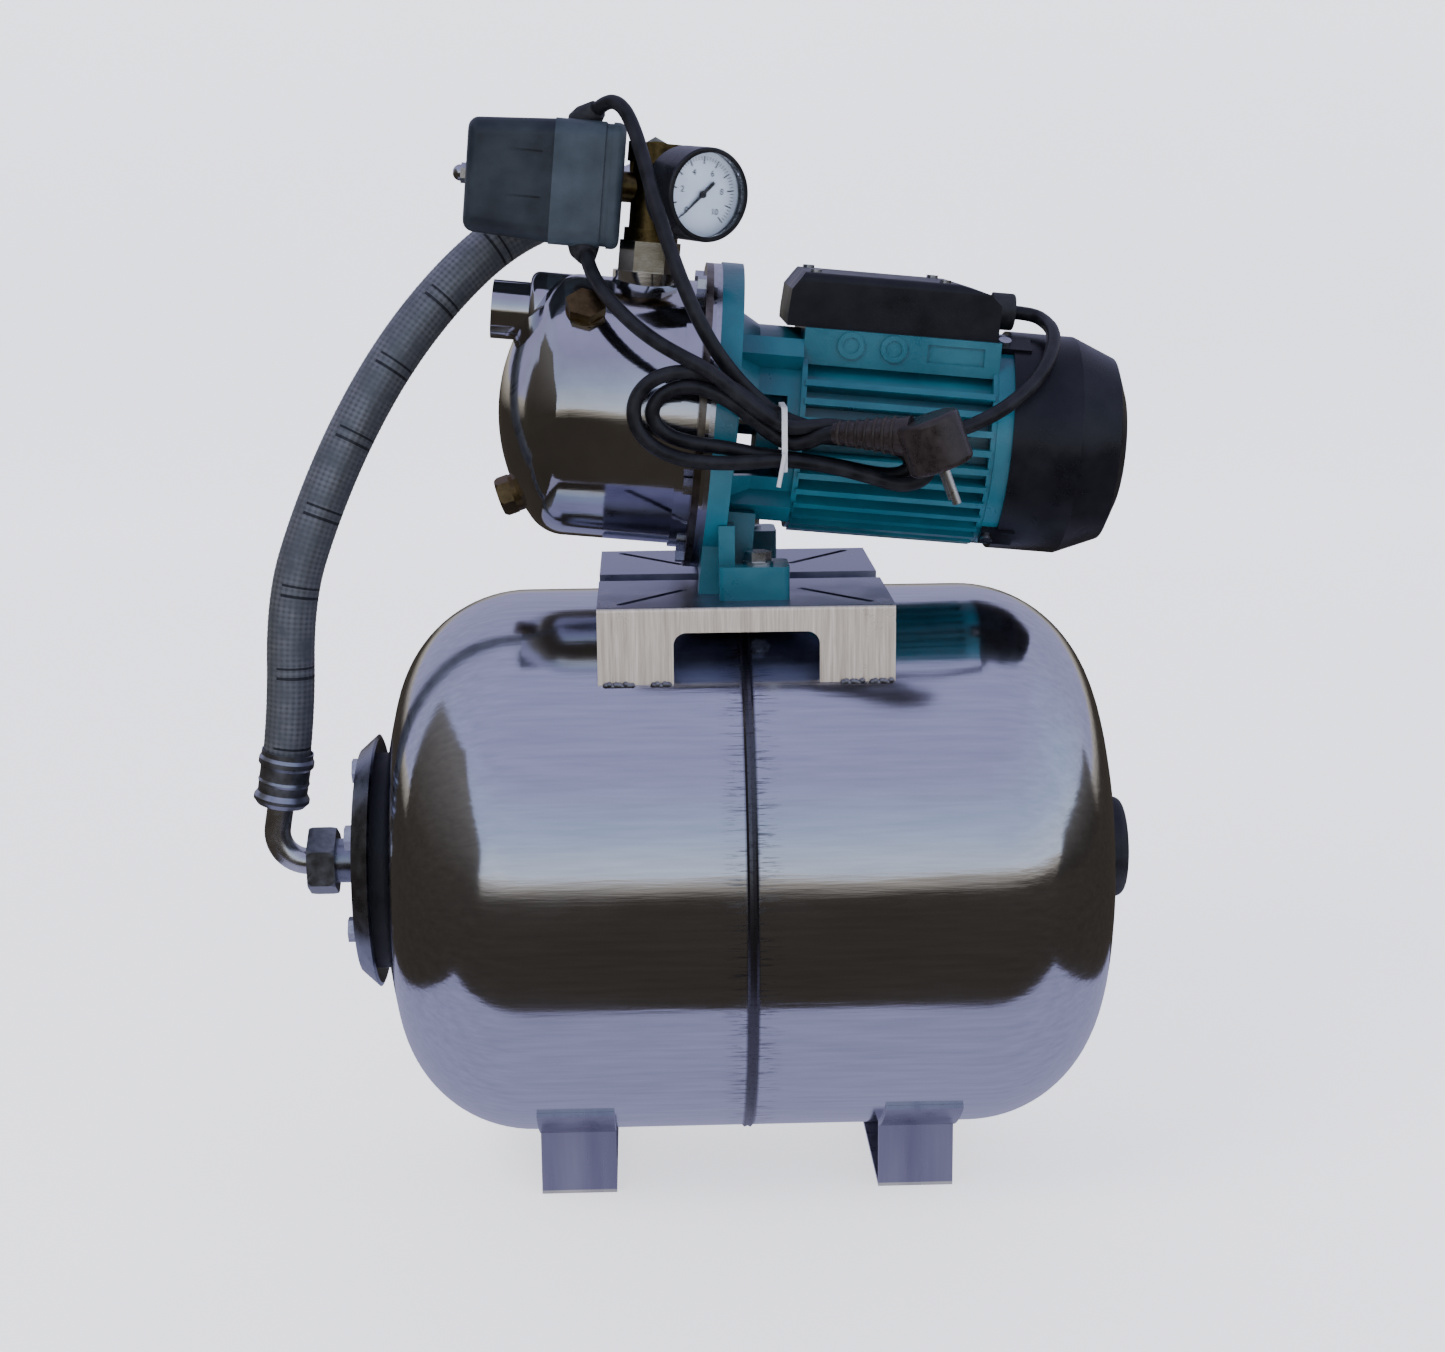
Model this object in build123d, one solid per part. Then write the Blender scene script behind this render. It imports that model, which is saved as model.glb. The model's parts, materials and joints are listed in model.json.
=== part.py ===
"""Booster set: a shallow-well jet pump standing on a horizontal pressure tank.

Millimetres.  X runs along the tank, Y away from the viewer, Z up.
The origin is on the floor, under the middle of the four foot holes.
The pump unit is drawn level about its own shaft and then tilted into place.
"""
import math
import os

from build123d import *

# ---- tank ---------------------------------------------------------------
TANK_R = 160.0
TANK_CLEAR = 27.0
TANK_AXIS_Z = TANK_R + TANK_CLEAR
TANK_LEFT = -212.0
TANK_RIGHT = 218.0
TANK_WALL = 1.5
TANK_DOME = 88.0
TANK_KNUCKLE = 78.0
SEAM_HALF_WIDTH = 3.0
SEAM_HEIGHT = 1.4
NECK_BORE_R = 42.0
COLLAR_R = 64.0
COLLAR_FACE_X = -219.5
LIP = 2.0
FLANGE_T = 3.5
FLANGE_FLAT_R = 66.0
FLANGE_R = 75.0
FLANGE_RIM_BACK = 10.0
FLANGE_BOLT_PCR = 55.0
FLANGE_BOLT_COUNT = 6
NIPPLE_REACH = 24.0

# ---- tank end fittings and hose ------------------------------------------
THREAD_R = 13.2
PIPE_BORE_R = 9.5
UNION_FLATS = 36.0
TUBE_R = 7.8
TUBE_BORE_R = 5.5
TUBE_BEND_R = 18.0
HOSE_D = 28.0
HOSE_LEAN = 10.0
LOWER_BEND_X = -279.0
LOWER_TUBE_LEG = 36.0
FERRULE_L = 33.0
FERRULE_R = 15.5
FERRULE_SEAT = 7.0
FERRULE_BORE_R = HOSE_D / 2 + 0.15
CAP_R = 30.0

# ---- feet and pump plates --------------------------------------------------
FOOT_X = 99.0
FOOT_W = 44.0
FOOT_LEG_Y = 65.0
FOOT_SHEET = 2.5
WING_START = math.degrees(math.asin((FOOT_LEG_Y - FOOT_SHEET) / TANK_R))
WING_END = WING_START + 19.0
FOOT_HOLE_Y = 35.0
FOOT_HOLE_R = 4.5
PLATE_TOP_Z = TANK_AXIS_Z + TANK_R + 8.5
PLATE_T = 2.5
PLATE_HALF_X = 81.6
PLATE_Y = 98.7
PLATE_GAP_Y = 11.0
WINDOW_HALF_X = 39.0
WINDOW_TOP = 13.0
SLOT_W = 4.6
SLOT_IN = (32.0, 42.0)
SLOT_OUT = (70.0, 88.0)

# ---- pump unit, in its own level frame ------------------------------------
SHAFT_Z = PLATE_TOP_Z + 91.9
PUMP_TILT = 5.4
CASING_R = 74.5
CASING_WALL = 2.0
CASING_LEFT = -137.5
CASING_DOME = 42.0
CASING_KNUCKLE = 24.0
CASING_STEP_X = -35.0
CASING_STEP = 1.8
BRACKET_FACE_X = -16.4
BRACKET_FLANGE_T = 12.0
BRACKET_R = 88.0
SEAL_PLATE_T = 3.0
CASING_LIP_T = 2.0
CLAMP_RING_T = 4.0
RING_R = 87.0
CASING_BOLT_PCR = 82.0
CASING_BOLT_FLATS = 9.0
CASING_BOLT_COUNT = 8
WHEEL_R = CASING_R - CASING_WALL - 12.5
SUCTION_Z = 51.0
SUCTION_X = CASING_LEFT - 7.1
BULGE_X = CASING_LEFT + 14.0
BULGE_R = 22.6
PORT_R = 16.6
PORT_BORE_R = 14.0
PORT_DEPTH = 13.1
PASSAGE_R = 11.5
PLUG_FLATS = 20.0
PLUG_SHANK_R = 7.0
DRAIN_FACE = (-133.3, -56.7)
DRAIN_TIP = 24.0
DRAIN_SHANK = 13.5
DRAIN_HEAD = 8.5
FILL_X = -91.0
FILL_LEAN = 40.0
FILL_SHANK = 10.0
FILL_HEAD = 5.5
DISCHARGE_X = -58.0
NIPPLE_FLATS = 30.0
BOSS_TOP_Z = 79.0
NIPPLE_TOP_Z = 96.0
PORT_Z = 125.0
FITTING_TOP_Z = 150.5
FITTING_R = 13.0
FITTING_COLLAR_R = 16.5
OUTLET_BORE_R = 12.1
HOSE_PORT_Z = 137.0

# ---- motor -----------------------------------------------------------------
HOUSING_X0 = 31.0
HOUSING_X1 = 141.0
BARREL_R = 52.0
BARREL_BORE_R = 46.0
FIN_R = 61.5
FIN_T = 3.6
FIN_PITCH = 10.0
FIN_FIRST = 28.0
PAD_HALF_Y = 44.0
PAD_TOP_Z = 58.0
PAD_BOTTOM_Z = 38.0
SHIELD_X1 = 150.0
FAN_COVER_X1 = 220.5
FAN_COVER_R = 62.5
SHIELD_R = FAN_COVER_R - 2.0
FAN_COVER_WALL = 2.2
EAR_ANGLES = (115, 235, 355)
EAR_RISE = 1.2
SHAFT_R = 8.5
ROTOR_R = 24.0
STACK_X0 = 48.0
STACK_X1 = 122.0
BEARING_R = 20.0
BEARING_W = 12.0
FRONT_BEARING_X = 14.0
REAR_BEARING_X = 138.0
AIR_GAP = 0.4
BOX_X0 = 21.0
BOX_X1 = 139.5
BOX_HALF_Y = 39.0
BOX_GLAND_R = 10.5
BOX_GLAND_L = 13.0
BOX_GLAND_Z = FAN_COVER_R + BOX_GLAND_R + 0.6
BOX_TOP_Z = BOX_GLAND_Z + 14.4
BOX_SPLIT_Z = 64.0
BOX_WALL = 2.5

# ---- foot of the bracket, level in the set's frame --------------------------
BRACKET_FOOT_X = (-14.0, 25.0)
BRACKET_FOOT_Y = (50.0, 80.0)
BRACKET_FOOT_H = 18.5
PUMP_BOLT_X = 8.0
PUMP_BOLT_Y = 67.0

# ---- gauge and pressure switch, level frame ---------------------------------
GAUGE_TURN = 30.0
GAUGE_FRONT = 59.0
GAUGE_DEPTH = 27.0
GAUGE_R = 25.5
DIAL_R = 22.6
SWITCH_X1 = DISCHARGE_X - 18.0
SWITCH_SPLIT_X = SWITCH_X1 - 39.0
SWITCH_X0 = SWITCH_SPLIT_X - 48.0
SWITCH_HALF_Y = 31.0
SWITCH_HALF_Z = 34.5
SWITCH_END_HALF_Z = 31.0
SWITCH_WALL = 2.5
SWITCH_GLAND_X = SWITCH_X1 - 19.0

# ---- leads ------------------------------------------------------------------
LEAD_D = 8.0
HANK_Y = (-108.0, -92.0)
HANK_OUTLINE = [
    (-63, 462), (-55, 482), (-28, 489), (-2, 475.5), (22, 456), (60, 450), (97, 437),
    (98, 421), (60, 430), (20, 433), (-25, 435), (-52, 442),
]
HANK_HOLE = [(-47, 462), (-38, 473), (-22, 474), (2, 456), (-4, 448), (-26, 448), (-41, 452)]
PLUG_AT = (98.0, -127.0, 447.0)
PLUG_LEAN = 20.0
PLUG_LEAD_WAY = (-0.94, 0.34, 0.02)
PLUG_R = 17.5
TIE_Y = (-108.3, -79.0)
TIE_Z = (431.0, 463.5)
TIE_T = 1.2
PLUG_H = 28.0
RUNNING = 0.05


def xz_ring(r_out, r_in, x0, x1):
    """A ring or disc about the X axis, from x0 to x1."""
    body = Pos((x0 + x1) / 2, 0, 0) * Rot(0, 90, 0) * Cylinder(r_out, x1 - x0)
    if r_in > 0:
        body -= Pos((x0 + x1) / 2, 0, 0) * Rot(0, 90, 0) * Cylinder(r_in, x1 - x0 + 2)
    return body


def rod(start, direction, r, length):
    """A round bar from a point along a direction."""
    return Plane(origin=start, z_dir=direction) * Pos(0, 0, length / 2) * Cylinder(r, length)


def hex_bar(start, direction, flats, length, turn=0.0):
    """A six-sided bar from a point along a direction."""
    sketch = Rot(0, 0, turn) * RegularPolygon(flats / 2, 6, major_radius=False)
    return Plane(origin=start, z_dir=direction) * extrude(sketch, length)


def block(x0, x1, y0, y1, z0, z1):
    return Pos((x0 + x1) / 2, (y0 + y1) / 2, (z0 + z1) / 2) * Box(x1 - x0, y1 - y0, z1 - z0)


def turned(points):
    """A solid turned about the X axis from (x, r) corners."""
    face = Plane.XZ * make_face(Polyline(*[(x, r) for x, r in points], close=True))
    return revolve(face, Axis.X)


def around(count, first, shape):
    """Copies of a shape about the X axis."""
    return [Rot(first + i * 360 / count, 0, 0) * shape for i in range(count)]


def fused(parts):
    body = parts[0]
    for part in parts[1:]:
        body = body + part
    return body


def in_pump(shape):
    """Tilts a shape from the level pump frame into the set."""
    return Pos(0, 0, SHAFT_Z) * Rot(0, PUMP_TILT, 0) * shape


def pump_point(x, y, z):
    c = math.cos(math.radians(PUMP_TILT))
    s = math.sin(math.radians(PUMP_TILT))
    return (x * c + z * s, y, SHAFT_Z - x * s + z * c)


def pump_direction(x, y, z):
    c = math.cos(math.radians(PUMP_TILT))
    s = math.sin(math.radians(PUMP_TILT))
    return (x * c + z * s, y, -x * s + z * c)


def save(node, shape):
    solids = shape.solids()
    whole = solids[0] if len(solids) == 1 else Compound(children=list(solids))
    whole.label = node
    export_step(whole, "parts/" + node + ".step")


# ---- pressed domes ------------------------------------------------------------
def dome_profile(radius, knuckle, depth, x_end, x_seam, side, wall, hole_r):
    """Outline of a pressed half shell; side is +1 when the dome faces +X."""
    across = radius - knuckle
    crown = (depth**2 - knuckle**2 + across**2) / (2 * (depth - knuckle))
    x_tan = x_end - side * depth
    x_crown = x_end - side * crown
    lean = math.atan2(across, side * (x_tan - x_crown))

    def at_crown(r, angle):
        return (x_crown + side * r * math.cos(angle), r * math.sin(angle))

    def at_knuckle(r, angle):
        return (x_tan + side * r * math.cos(angle), across + r * math.sin(angle))

    def skin(offset, hole):
        rc = crown - offset
        rk = knuckle - offset
        low = math.asin(hole / rc)
        return (
            (x_seam, radius - offset),
            (x_tan, radius - offset),
            at_knuckle(rk, (lean + math.pi / 2) / 2),
            at_crown(rc, lean),
            at_crown(rc, (lean + low) / 2),
            at_crown(rc, low),
        )

    out = skin(0, hole_r)
    inn = skin(wall, hole_r)
    with BuildLine() as line:
        Line(out[0], out[1])
        ThreePointArc(out[1], out[2], out[3])
        ThreePointArc(out[3], out[4], out[5])
        Line(out[5], inn[5])
        ThreePointArc(inn[5], inn[4], inn[3])
        ThreePointArc(inn[3], inn[2], inn[1])
        Line(inn[1], inn[0])
        Line(inn[0], out[0])
    return revolve(Plane.XZ * make_face(line.line), Axis.X)


def dome_solid(radius, knuckle, depth, x_end, x_seam, side):
    """The filled outer shape of a pressed half shell."""
    across = radius - knuckle
    crown = (depth**2 - knuckle**2 + across**2) / (2 * (depth - knuckle))
    x_tan = x_end - side * depth
    x_crown = x_end - side * crown
    lean = math.atan2(across, side * (x_tan - x_crown))
    mid = (lean + math.pi / 2) / 2
    with BuildLine() as line:
        Line((x_seam, 0), (x_seam, radius))
        Line((x_seam, radius), (x_tan, radius))
        meet = (x_crown + side * crown * math.cos(lean), crown * math.sin(lean))
        ThreePointArc(
            (x_tan, radius),
            (x_tan + side * knuckle * math.cos(mid), across + knuckle * math.sin(mid)),
            meet,
        )
        ThreePointArc(
            meet,
            (x_crown + side * crown * math.cos(lean / 2), crown * math.sin(lean / 2)),
            (x_end, 0),
        )
        Line((x_end, 0), (x_seam, 0))
    return revolve(Plane.XZ * make_face(line.line), Axis.X)


def on_tank(shape):
    return Pos(0, 0, TANK_AXIS_Z) * shape


# ---- tank ---------------------------------------------------------------------
def make_tank():
    left = dome_profile(
        TANK_R, TANK_KNUCKLE, TANK_DOME, TANK_LEFT, 0, -1, TANK_WALL, NECK_BORE_R
    )
    right = dome_profile(
        TANK_R, TANK_KNUCKLE, TANK_DOME, TANK_RIGHT, 0, 1, TANK_WALL, 4.0
    )
    ridge = turned(
        [
            (-SEAM_HALF_WIDTH, TANK_R),
            (-SEAM_HALF_WIDTH * 0.6, TANK_R + SEAM_HEIGHT),
            (0, TANK_R + SEAM_HEIGHT * 0.5),
            (SEAM_HALF_WIDTH * 0.6, TANK_R + SEAM_HEIGHT),
            (SEAM_HALF_WIDTH, TANK_R),
        ]
    )
    save("tank_shell_left", on_tank(left + ridge))
    stem = xz_ring(4.0, 1.2, TANK_RIGHT - 6, TANK_RIGHT + 6)
    save("tank_shell_right", on_tank(right + stem))

    outside = dome_solid(TANK_R, TANK_KNUCKLE, TANK_DOME, TANK_LEFT, 0, -1)
    collar = xz_ring(COLLAR_R, NECK_BORE_R, COLLAR_FACE_X, TANK_LEFT + 12) - outside
    collar = chamfer(collar.edges().filter_by(GeomType.CIRCLE).sort_by(Axis.X)[:1], 0.8)
    save("tank_collar", on_tank(collar))

    lip_x = COLLAR_FACE_X - LIP
    bag = turned(
        [
            (lip_x, 36),
            (lip_x, COLLAR_R - 3),
            (COLLAR_FACE_X, COLLAR_R - 3),
            (COLLAR_FACE_X, 39),
            (-196, 39),
            (-170, 88),
            (-110, 118),
            (60, 118),
            (130, 92),
            (160, 40),
            (160, 0),
            (157.5, 0),
            (157.5, 39),
            (128, 90),
            (59, 115.5),
            (-109, 115.5),
            (-168, 86),
            (-193, 36),
        ]
    )
    save("tank_membrane", on_tank(bag))

    flat_x = lip_x - FLANGE_T
    rim_x = flat_x + FLANGE_RIM_BACK
    flange = turned(
        [
            (flat_x, THREAD_R),
            (flat_x, FLANGE_FLAT_R),
            (rim_x, FLANGE_R),
            (rim_x + 1.0, FLANGE_R - 2.2),
            (lip_x + 1.0, FLANGE_FLAT_R - 0.5),
            (lip_x, FLANGE_FLAT_R - 2.0),
            (lip_x, THREAD_R),
        ]
    )
    hole = rod((flat_x - 1, FLANGE_BOLT_PCR, 0), (1, 0, 0), 4.0, 40)
    holes = around(FLANGE_BOLT_COUNT, 30, hole)
    for cut in holes:
        flange = flange - cut
    nipple_x = flat_x - NIPPLE_REACH
    nipple = xz_ring(THREAD_R, PIPE_BORE_R, nipple_x, lip_x + 4)
    nipple = chamfer(nipple.edges().filter_by(GeomType.CIRCLE).sort_by(Axis.X)[:2], 1.0)
    save("tank_flange", on_tank(flange + nipple))

    bolt = fused(
        [
            hex_bar((flat_x - 4.6, FLANGE_BOLT_PCR, 0), (1, 0, 0), 13.0, 4.6),
            rod((flat_x, FLANGE_BOLT_PCR, 0), (1, 0, 0), 3.9, FLANGE_T),
        ]
    )
    bolts = Compound(children=around(FLANGE_BOLT_COUNT, 30, bolt))
    save("tank_flange_bolts", on_tank(bolts))
    return flat_x


def make_tank_right_end():
    """The black screw cap over the air valve."""
    outside = dome_solid(TANK_R, TANK_KNUCKLE, TANK_DOME, TANK_RIGHT, 0, 1)
    cap = xz_ring(CAP_R, 0, TANK_RIGHT - 4, TANK_RIGHT + 11)
    cap = fillet(cap.edges().filter_by(GeomType.CIRCLE).sort_by(Axis.X)[-1:], 5.0)
    hollow = xz_ring(CAP_R - 4, 0, TANK_RIGHT - 5, TANK_RIGHT + 7)
    save("air_valve_cap", on_tank(cap - outside - hollow))


# ---- elbows, ferrules and the braided hose --------------------------------------
def bent_tube(points, bend_r, r_out, r_in):
    path = FilletPolyline(*points, radius=bend_r)
    start = Vector(*points[0])
    way = Vector(*points[1]) - start
    plane = Plane(origin=start, z_dir=way)
    outer = sweep(plane * Circle(r_out), path)
    return outer - sweep(plane * Circle(r_in), path)


def along(start, direction, distance):
    unit = Vector(*direction).normalized()
    point = Vector(*start) + unit * distance
    return (point.X, point.Y, point.Z)


def ferrule(start, direction):
    """Crimped sleeve with a rolled collar at both ends."""
    place = Plane(origin=start, z_dir=direction)
    outline = [
        (TUBE_R, 0),
        (FERRULE_R - 1.5, 0),
        (FERRULE_R + 1.0, 3),
        (FERRULE_R + 1.0, 5),
        (FERRULE_R - 0.8, 8),
        (FERRULE_R - 0.8, 13),
        (FERRULE_R - 0.2, 14.5),
        (FERRULE_R - 0.8, 16),
        (FERRULE_R - 0.8, 23),
        (FERRULE_R + 0.8, 25),
        (FERRULE_R + 0.8, 28),
        (FERRULE_R - 0.2, 30),
        (FERRULE_R - 0.2, FERRULE_L),
        (FERRULE_BORE_R + 0.5, FERRULE_L),
        (FERRULE_BORE_R, FERRULE_SEAT + 6),
        (FERRULE_BORE_R, FERRULE_SEAT),
        (TUBE_R, FERRULE_SEAT),
    ]
    face = Plane.XZ * make_face(Polyline(*outline, close=True))
    return place * revolve(face, Axis.Z)


def make_tank_elbow(flat_x):
    """Swivel nut, bent tube and ferrule at the tank end of the hose."""
    z = TANK_AXIS_Z
    nut_x = flat_x - 32
    nut = hex_bar((nut_x, 0, z), (1, 0, 0), UNION_FLATS, 16.5)
    ball = Pos(nut_x + 8.2, 0, z) * Sphere(UNION_FLATS * 0.595)
    nut = nut & ball
    nut -= rod((nut_x - 1, 0, z), (1, 0, 0), TUBE_R + 0.2, 30)
    nut -= rod((nut_x + 4, 0, z), (1, 0, 0), THREAD_R, 30)

    lean = math.radians(HOSE_LEAN)
    up = (math.sin(lean), 0, math.cos(lean))
    corner = (LOWER_BEND_X, 0, z)
    end = along(corner, up, LOWER_TUBE_LEG + FERRULE_SEAT)
    tube = bent_tube([(flat_x - 24.2, 0, z), corner, end], TUBE_BEND_R, TUBE_R, TUBE_BORE_R)
    seat = rod((flat_x - 28, 0, z), (1, 0, 0), THREAD_R - 0.3, 3.8)
    seat -= rod((flat_x - 29, 0, z), (1, 0, 0), TUBE_BORE_R, 9)
    base = along(corner, up, LOWER_TUBE_LEG)
    return nut, tube + seat, base, up


def make_hose_top():
    """Swivel nut and bent tube on the rear port of the five-way fitting."""
    top = pump_point(DISCHARGE_X, 0, HOSE_PORT_Z)
    back = (0, 1, 0)
    nut_start = along(top, back, 24)
    nut = hex_bar(nut_start, back, 30.0, 14)
    nut = nut & Pos(*along(nut_start, back, 7)) * Sphere(19.0)
    nut -= rod(along(top, back, 20), back, THREAD_R, 14)
    nut -= rod(along(top, back, 20), back, TUBE_R + 0.2, 30)

    corner = along(top, back, 60)
    slope = math.radians(22)
    out = (-math.cos(slope), 0, -math.sin(slope))
    end = along(corner, out, 30 + FERRULE_SEAT)
    tube = bent_tube([along(top, back, 31.6), corner, end], TUBE_BEND_R, TUBE_R, TUBE_BORE_R)
    seat = rod(along(top, back, 30.2), back, THREAD_R - 0.3, 3.6)
    seat -= rod(along(top, back, 30), back, TUBE_BORE_R, 9)
    base = along(corner, out, 30)
    return nut, tube + seat, base, out


def make_hose_ends(flat_x):
    """Both ends of the hose share their nut, tube and ferrule nodes."""
    low_nut, low_tube, low_base, up = make_tank_elbow(flat_x)
    top_nut, top_tube, top_base, out = make_hose_top()
    save("hose_union_nuts", Compound(children=[low_nut, top_nut]))
    save("hose_elbows", Compound(children=[low_tube, top_tube]))
    save("hose_ferrules", Compound(children=[ferrule(low_base, up), ferrule(top_base, out)]))
    make_hose(along(low_base, up, FERRULE_SEAT), up, along(top_base, out, FERRULE_SEAT), out)


def cord_radii(points):
    """One arc radius for each corner, from its shorter run and its turn."""
    radii = []
    for before, here, after in zip(points, points[1:], points[2:]):
        first = Vector(*here) - Vector(*before)
        second = Vector(*after) - Vector(*here)
        turn = math.radians(first.get_angle(second))
        shorter = min(first.length, second.length)
        radii.append(0.45 * shorter / math.tan(turn / 2))
    return radii


def cord_tube(node, points, diameter):
    """A cord as straight runs joined by tangent arcs."""
    radii = cord_radii(points)
    path = FilletPolyline(*points, radius=radii)
    start = Vector(*points[0])
    plane = Plane(origin=start, z_dir=Vector(*points[1]) - start)
    tube = sweep(plane * Circle(diameter / 2), path)
    length = path.length
    ideal = math.pi * (diameter / 2) ** 2 * length
    print(node, "length", round(length, 1), "volume ratio", round(tube.volume / ideal, 4))
    print("  radii in diameters", [round(r / diameter, 1) for r in radii])
    save(node, tube)


def make_hose(bottom, bottom_way, top, top_way):
    points = [
        bottom,
        along(bottom, bottom_way, 42),
        (-262.0, 3.0, 345.0),
        (-246.0, 10.0, 393.0),
        (-225.0, 20.0, 440.0),
        (-199.0, 31.0, 484.0),
        (-169.0, 43.0, 521.0),
        (-138.0, 55.0, 549.0),
        along(top, top_way, 28),
        top,
    ]
    cord_tube("braided_hose", points, HOSE_D)


# ---- feet and pump plates ---------------------------------------------------------
def make_feet():
    for node, side in (("foot_left", -1), ("foot_right", 1)):
        x0 = side * FOOT_X - FOOT_W / 2
        x1 = side * FOOT_X + FOOT_W / 2
        leg_top = TANK_AXIS_Z - math.sqrt(TANK_R**2 - FOOT_LEG_Y**2)
        foot = block(x0, x1, -FOOT_LEG_Y, FOOT_LEG_Y, 0, FOOT_SHEET)
        for way in (-1, 1):
            inner = way * (FOOT_LEG_Y - FOOT_SHEET)
            outer = way * FOOT_LEG_Y
            foot += block(x0, x1, min(inner, outer), max(inner, outer), 0, leg_top + 2)
            wing = xz_ring(TANK_R + FOOT_SHEET, TANK_R, x0, x1)
            wing &= around_wedge(x0, x1, way)
            foot += on_tank(wing)
        foot -= on_tank(xz_ring(TANK_R, 0, x0 - 1, x1 + 1))
        for way in (-1, 1):
            foot -= rod((side * FOOT_X, way * FOOT_HOLE_Y, -1), (0, 0, 1), FOOT_HOLE_R, 5)
        save(node, foot)


def around_wedge(x0, x1, way):
    """A wedge about the X axis that keeps one wing of a foot."""
    reach = TANK_R * 1.3
    a = math.radians(WING_START)
    b = math.radians(WING_END)
    corners = [
        (0, 0),
        (way * reach * math.sin(a), -reach * math.cos(a)),
        (way * reach * math.sin(b), -reach * math.cos(b)),
    ]
    face = Plane(origin=(x0, 0, 0), x_dir=(0, 1, 0), z_dir=(1, 0, 0)) * make_face(
        Polyline(*corners, close=True)
    )
    return extrude(face, x1 - x0, dir=(1, 0, 0))


def make_plates():
    """Two bent sheets with a gap between them; the pump foot bridges the gap."""
    low = PLATE_TOP_Z - PLATE_T
    for node, way in (("pump_plate_front", -1), ("pump_plate_back", 1)):
        x0 = -PLATE_HALF_X
        x1 = PLATE_HALF_X
        near = way * PLATE_GAP_Y
        far = way * PLATE_Y
        plate = block(x0, x1, min(near, far), max(near, far), low, PLATE_TOP_Z)
        skirt_in = way * (PLATE_Y - PLATE_T)
        skirt_low = TANK_AXIS_Z + TANK_R * 0.7
        plate += block(x0, x1, min(skirt_in, far), max(skirt_in, far), skirt_low, low)
        lip = way * (PLATE_GAP_Y + PLATE_T)
        plate += block(x0, x1, min(near, lip), max(near, lip), TANK_AXIS_Z + TANK_R * 0.9, low)
        plate -= on_tank(xz_ring(TANK_R, 0, x0 - 1, x1 + 1))
        weld_gap = xz_ring(TANK_R + SEAM_HEIGHT + 0.3, 0, -SEAM_HALF_WIDTH - 1, SEAM_HALF_WIDTH + 1)
        plate -= on_tank(weld_gap)
        window = RectangleRounded(2 * WINDOW_HALF_X, 80, 7)
        wall = Plane(origin=(0, far, PLATE_TOP_Z - WINDOW_TOP - 40), z_dir=(0, -way, 0))
        plate -= wall * extrude(window, 8, both=True)
        for side in (-1, 1):
            plate -= diagonal_slot(side, way)
        plate -= rod((PUMP_BOLT_X, way * PUMP_BOLT_Y, low - 1), (0, 0, 1), 4.3, 6)
        outer = plate.edges().filter_by(Axis.X).filter_by(
            lambda e: abs(abs(e.center().Y) - PLATE_Y) < 0.01 and abs(e.center().Z - PLATE_TOP_Z) < 0.01
        )
        plate = fillet(outer, 2.2)
        save(node, plate)


def diagonal_slot(side, way):
    x_in, y_in = SLOT_IN
    x_out, y_out = SLOT_OUT
    length = math.hypot(x_out - x_in, y_out - y_in)
    angle = math.degrees(math.atan2(way * (y_out - y_in), side * (x_out - x_in)))
    centre = (side * (x_in + x_out) / 2, way * (y_in + y_out) / 2, PLATE_TOP_Z - PLATE_T - 1)
    sketch = SlotCenterToCenter(length - SLOT_W, SLOT_W)
    return Pos(*centre) * Rot(0, 0, angle) * extrude(sketch, PLATE_T + 2)


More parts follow.
